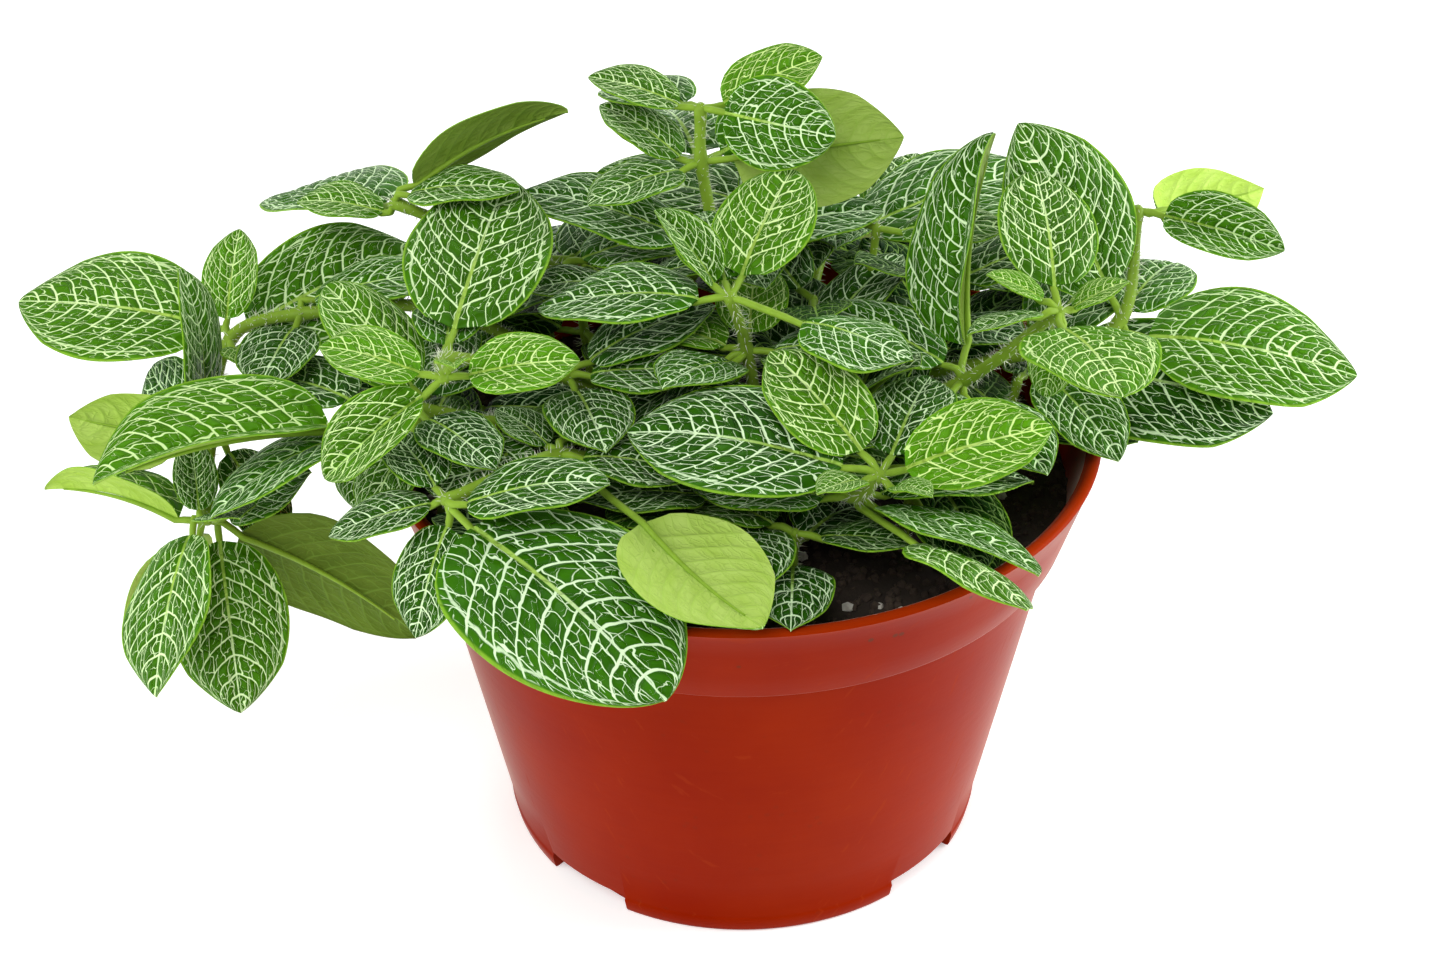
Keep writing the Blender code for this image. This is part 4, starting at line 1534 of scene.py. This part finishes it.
def build_floor(look):
    """A pale round floor whose edge curves up into a backdrop."""
    sweep = [radians(5 * k) for k in range(1, 15)]
    inner = [(FLAT_FLOOR * (1 + sin(a)), FLAT_FLOOR * (1 - cos(a)) - FLOOR_GAP) for a in sweep]
    outer = [(radius + FLOOR_DEPTH, height - FLOOR_DEPTH) for radius, height in inner]
    flat = [(radius, -FLOOR_GAP) for radius in (FLAT_FLOOR, 900, 0)]
    low = [(0, -FLOOR_DEPTH), (FLAT_FLOOR + FLOOR_DEPTH, -FLOOR_DEPTH)]
    points, faces = turned([*low, *outer, *inner[::-1], *flat], FLOOR_SIDES)
    floor = mesh_object("pale_floor", points, faces, [floor_material(look)])
    outward_normals(floor)
    floor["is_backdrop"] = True


def build_stage(look):
    """The floor, soft lamps, a bright sky and the camera."""
    build_floor(look)
    for name, place, target, size, share in LAMPS:
        area_light(name, place, (0, 0, target), size, look.lamp * share)

    scene = bpy.context.scene
    scene.world = bpy.data.worlds.new("Bright room")
    scene.world.use_nodes = True
    sky = scene.world.node_tree.nodes["Background"].inputs
    sky["Color"].default_value = (1, 1, 1, 1)
    sky["Strength"].default_value = SKY_STRENGTH
    scene.view_settings.view_transform = "Standard"

    camera = bpy.data.objects.new("front_camera", bpy.data.cameras.new("front_camera"))
    scene.collection.objects.link(camera)
    camera.data.lens = look.lens
    camera.data.sensor_width = SENSOR_WIDTH
    camera.location = CAMERA_PLACE
    pitch = Matrix.Rotation(pi / 2 - radians(CAMERA_PITCH), 4, "X")
    tilt = Matrix.Rotation(radians(CAMERA_TILT), 4, "Z")
    camera.rotation_euler = (pitch @ tilt).to_euler()
    scene.camera = camera


# --- Operators and panel -------------------------------------------------------------------------


class NERVE_OT_pot(bpy.types.Operator):
    """Build the terracotta plastic pot"""

    bl_idname = "nerve_plant.pot"
    bl_label = "Pot"

    def execute(self, context):
        build_pot(context.scene.nerve_plant.pot)
        return {"FINISHED"}


class NERVE_OT_soil(bpy.types.Operator):
    """Build the potting soil with its crumbs and perlite"""

    bl_idname = "nerve_plant.soil"
    bl_label = "Soil"

    def execute(self, context):
        build_soil(context.scene.nerve_plant.pot)
        return {"FINISHED"}


class NERVE_OT_stems(bpy.types.Operator):
    """Build the hairy stems"""

    bl_idname = "nerve_plant.stems"
    bl_label = "Stems"

    def execute(self, context):
        build_stems(context.scene.nerve_plant.stem)
        return {"FINISHED"}


class NERVE_OT_leaves(bpy.types.Operator):
    """Build the net-veined leaves"""

    bl_idname = "nerve_plant.leaves"
    bl_label = "Leaves"

    def execute(self, context):
        settings = context.scene.nerve_plant
        petiole = green_skin_material(settings.stem, "Petiole skin", 1.1)
        materials = [leaf_upper_material(settings.leaf), leaf_under_material(), petiole]
        build_leaves(settings.leaf, materials)
        return {"FINISHED"}


class NERVE_OT_stage(bpy.types.Operator):
    """Build the floor, the lamps, the sky and the camera"""

    bl_idname = "nerve_plant.stage"
    bl_label = "Stage"

    def execute(self, context):
        build_stage(context.scene.nerve_plant.stage)
        return {"FINISHED"}


OPERATORS = (NERVE_OT_pot, NERVE_OT_soil, NERVE_OT_stems, NERVE_OT_leaves, NERVE_OT_stage)


class NERVE_PT_panel(bpy.types.Panel):
    """The pieces of the potted nerve plant and their settings"""

    bl_idname = "NERVE_PT_panel"
    bl_label = "Nerve Plant"
    bl_space_type = "VIEW_3D"
    bl_region_type = "UI"
    bl_category = "Nerve Plant"

    def draw(self, context):
        for operator in OPERATORS:
            self.layout.operator(operator.bl_idname)
        settings = context.scene.nerve_plant
        for group in (settings.pot, settings.stem, settings.leaf, settings.stage):
            box = self.layout.box()
            for title in group.__annotations__:
                box.prop(group, title)


CLASSES = (
    PotSettings,
    StemSettings,
    LeafSettings,
    StageSettings,
    NervePlantSettings,
    *OPERATORS,
    NERVE_PT_panel,
)


def register():
    """Register the settings, the operators and the panel."""
    for kind in CLASSES:
        bpy.utils.register_class(kind)
    bpy.types.Scene.nerve_plant = PointerProperty(type=NervePlantSettings)


def unregister():
    """Undo register."""
    del bpy.types.Scene.nerve_plant
    for kind in reversed(CLASSES):
        bpy.utils.unregister_class(kind)


def main():
    """Build the whole plant."""
    register()
    bpy.ops.nerve_plant.pot()
    bpy.ops.nerve_plant.soil()
    bpy.ops.nerve_plant.stems()
    bpy.ops.nerve_plant.leaves()
    bpy.ops.nerve_plant.stage()
    sizes = {"cad": CAD_BOX, "visual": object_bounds()}
    {title: [list(corner) for corner in box] for title, box in sizes.items()}


if __name__ == "__main__":
    main()
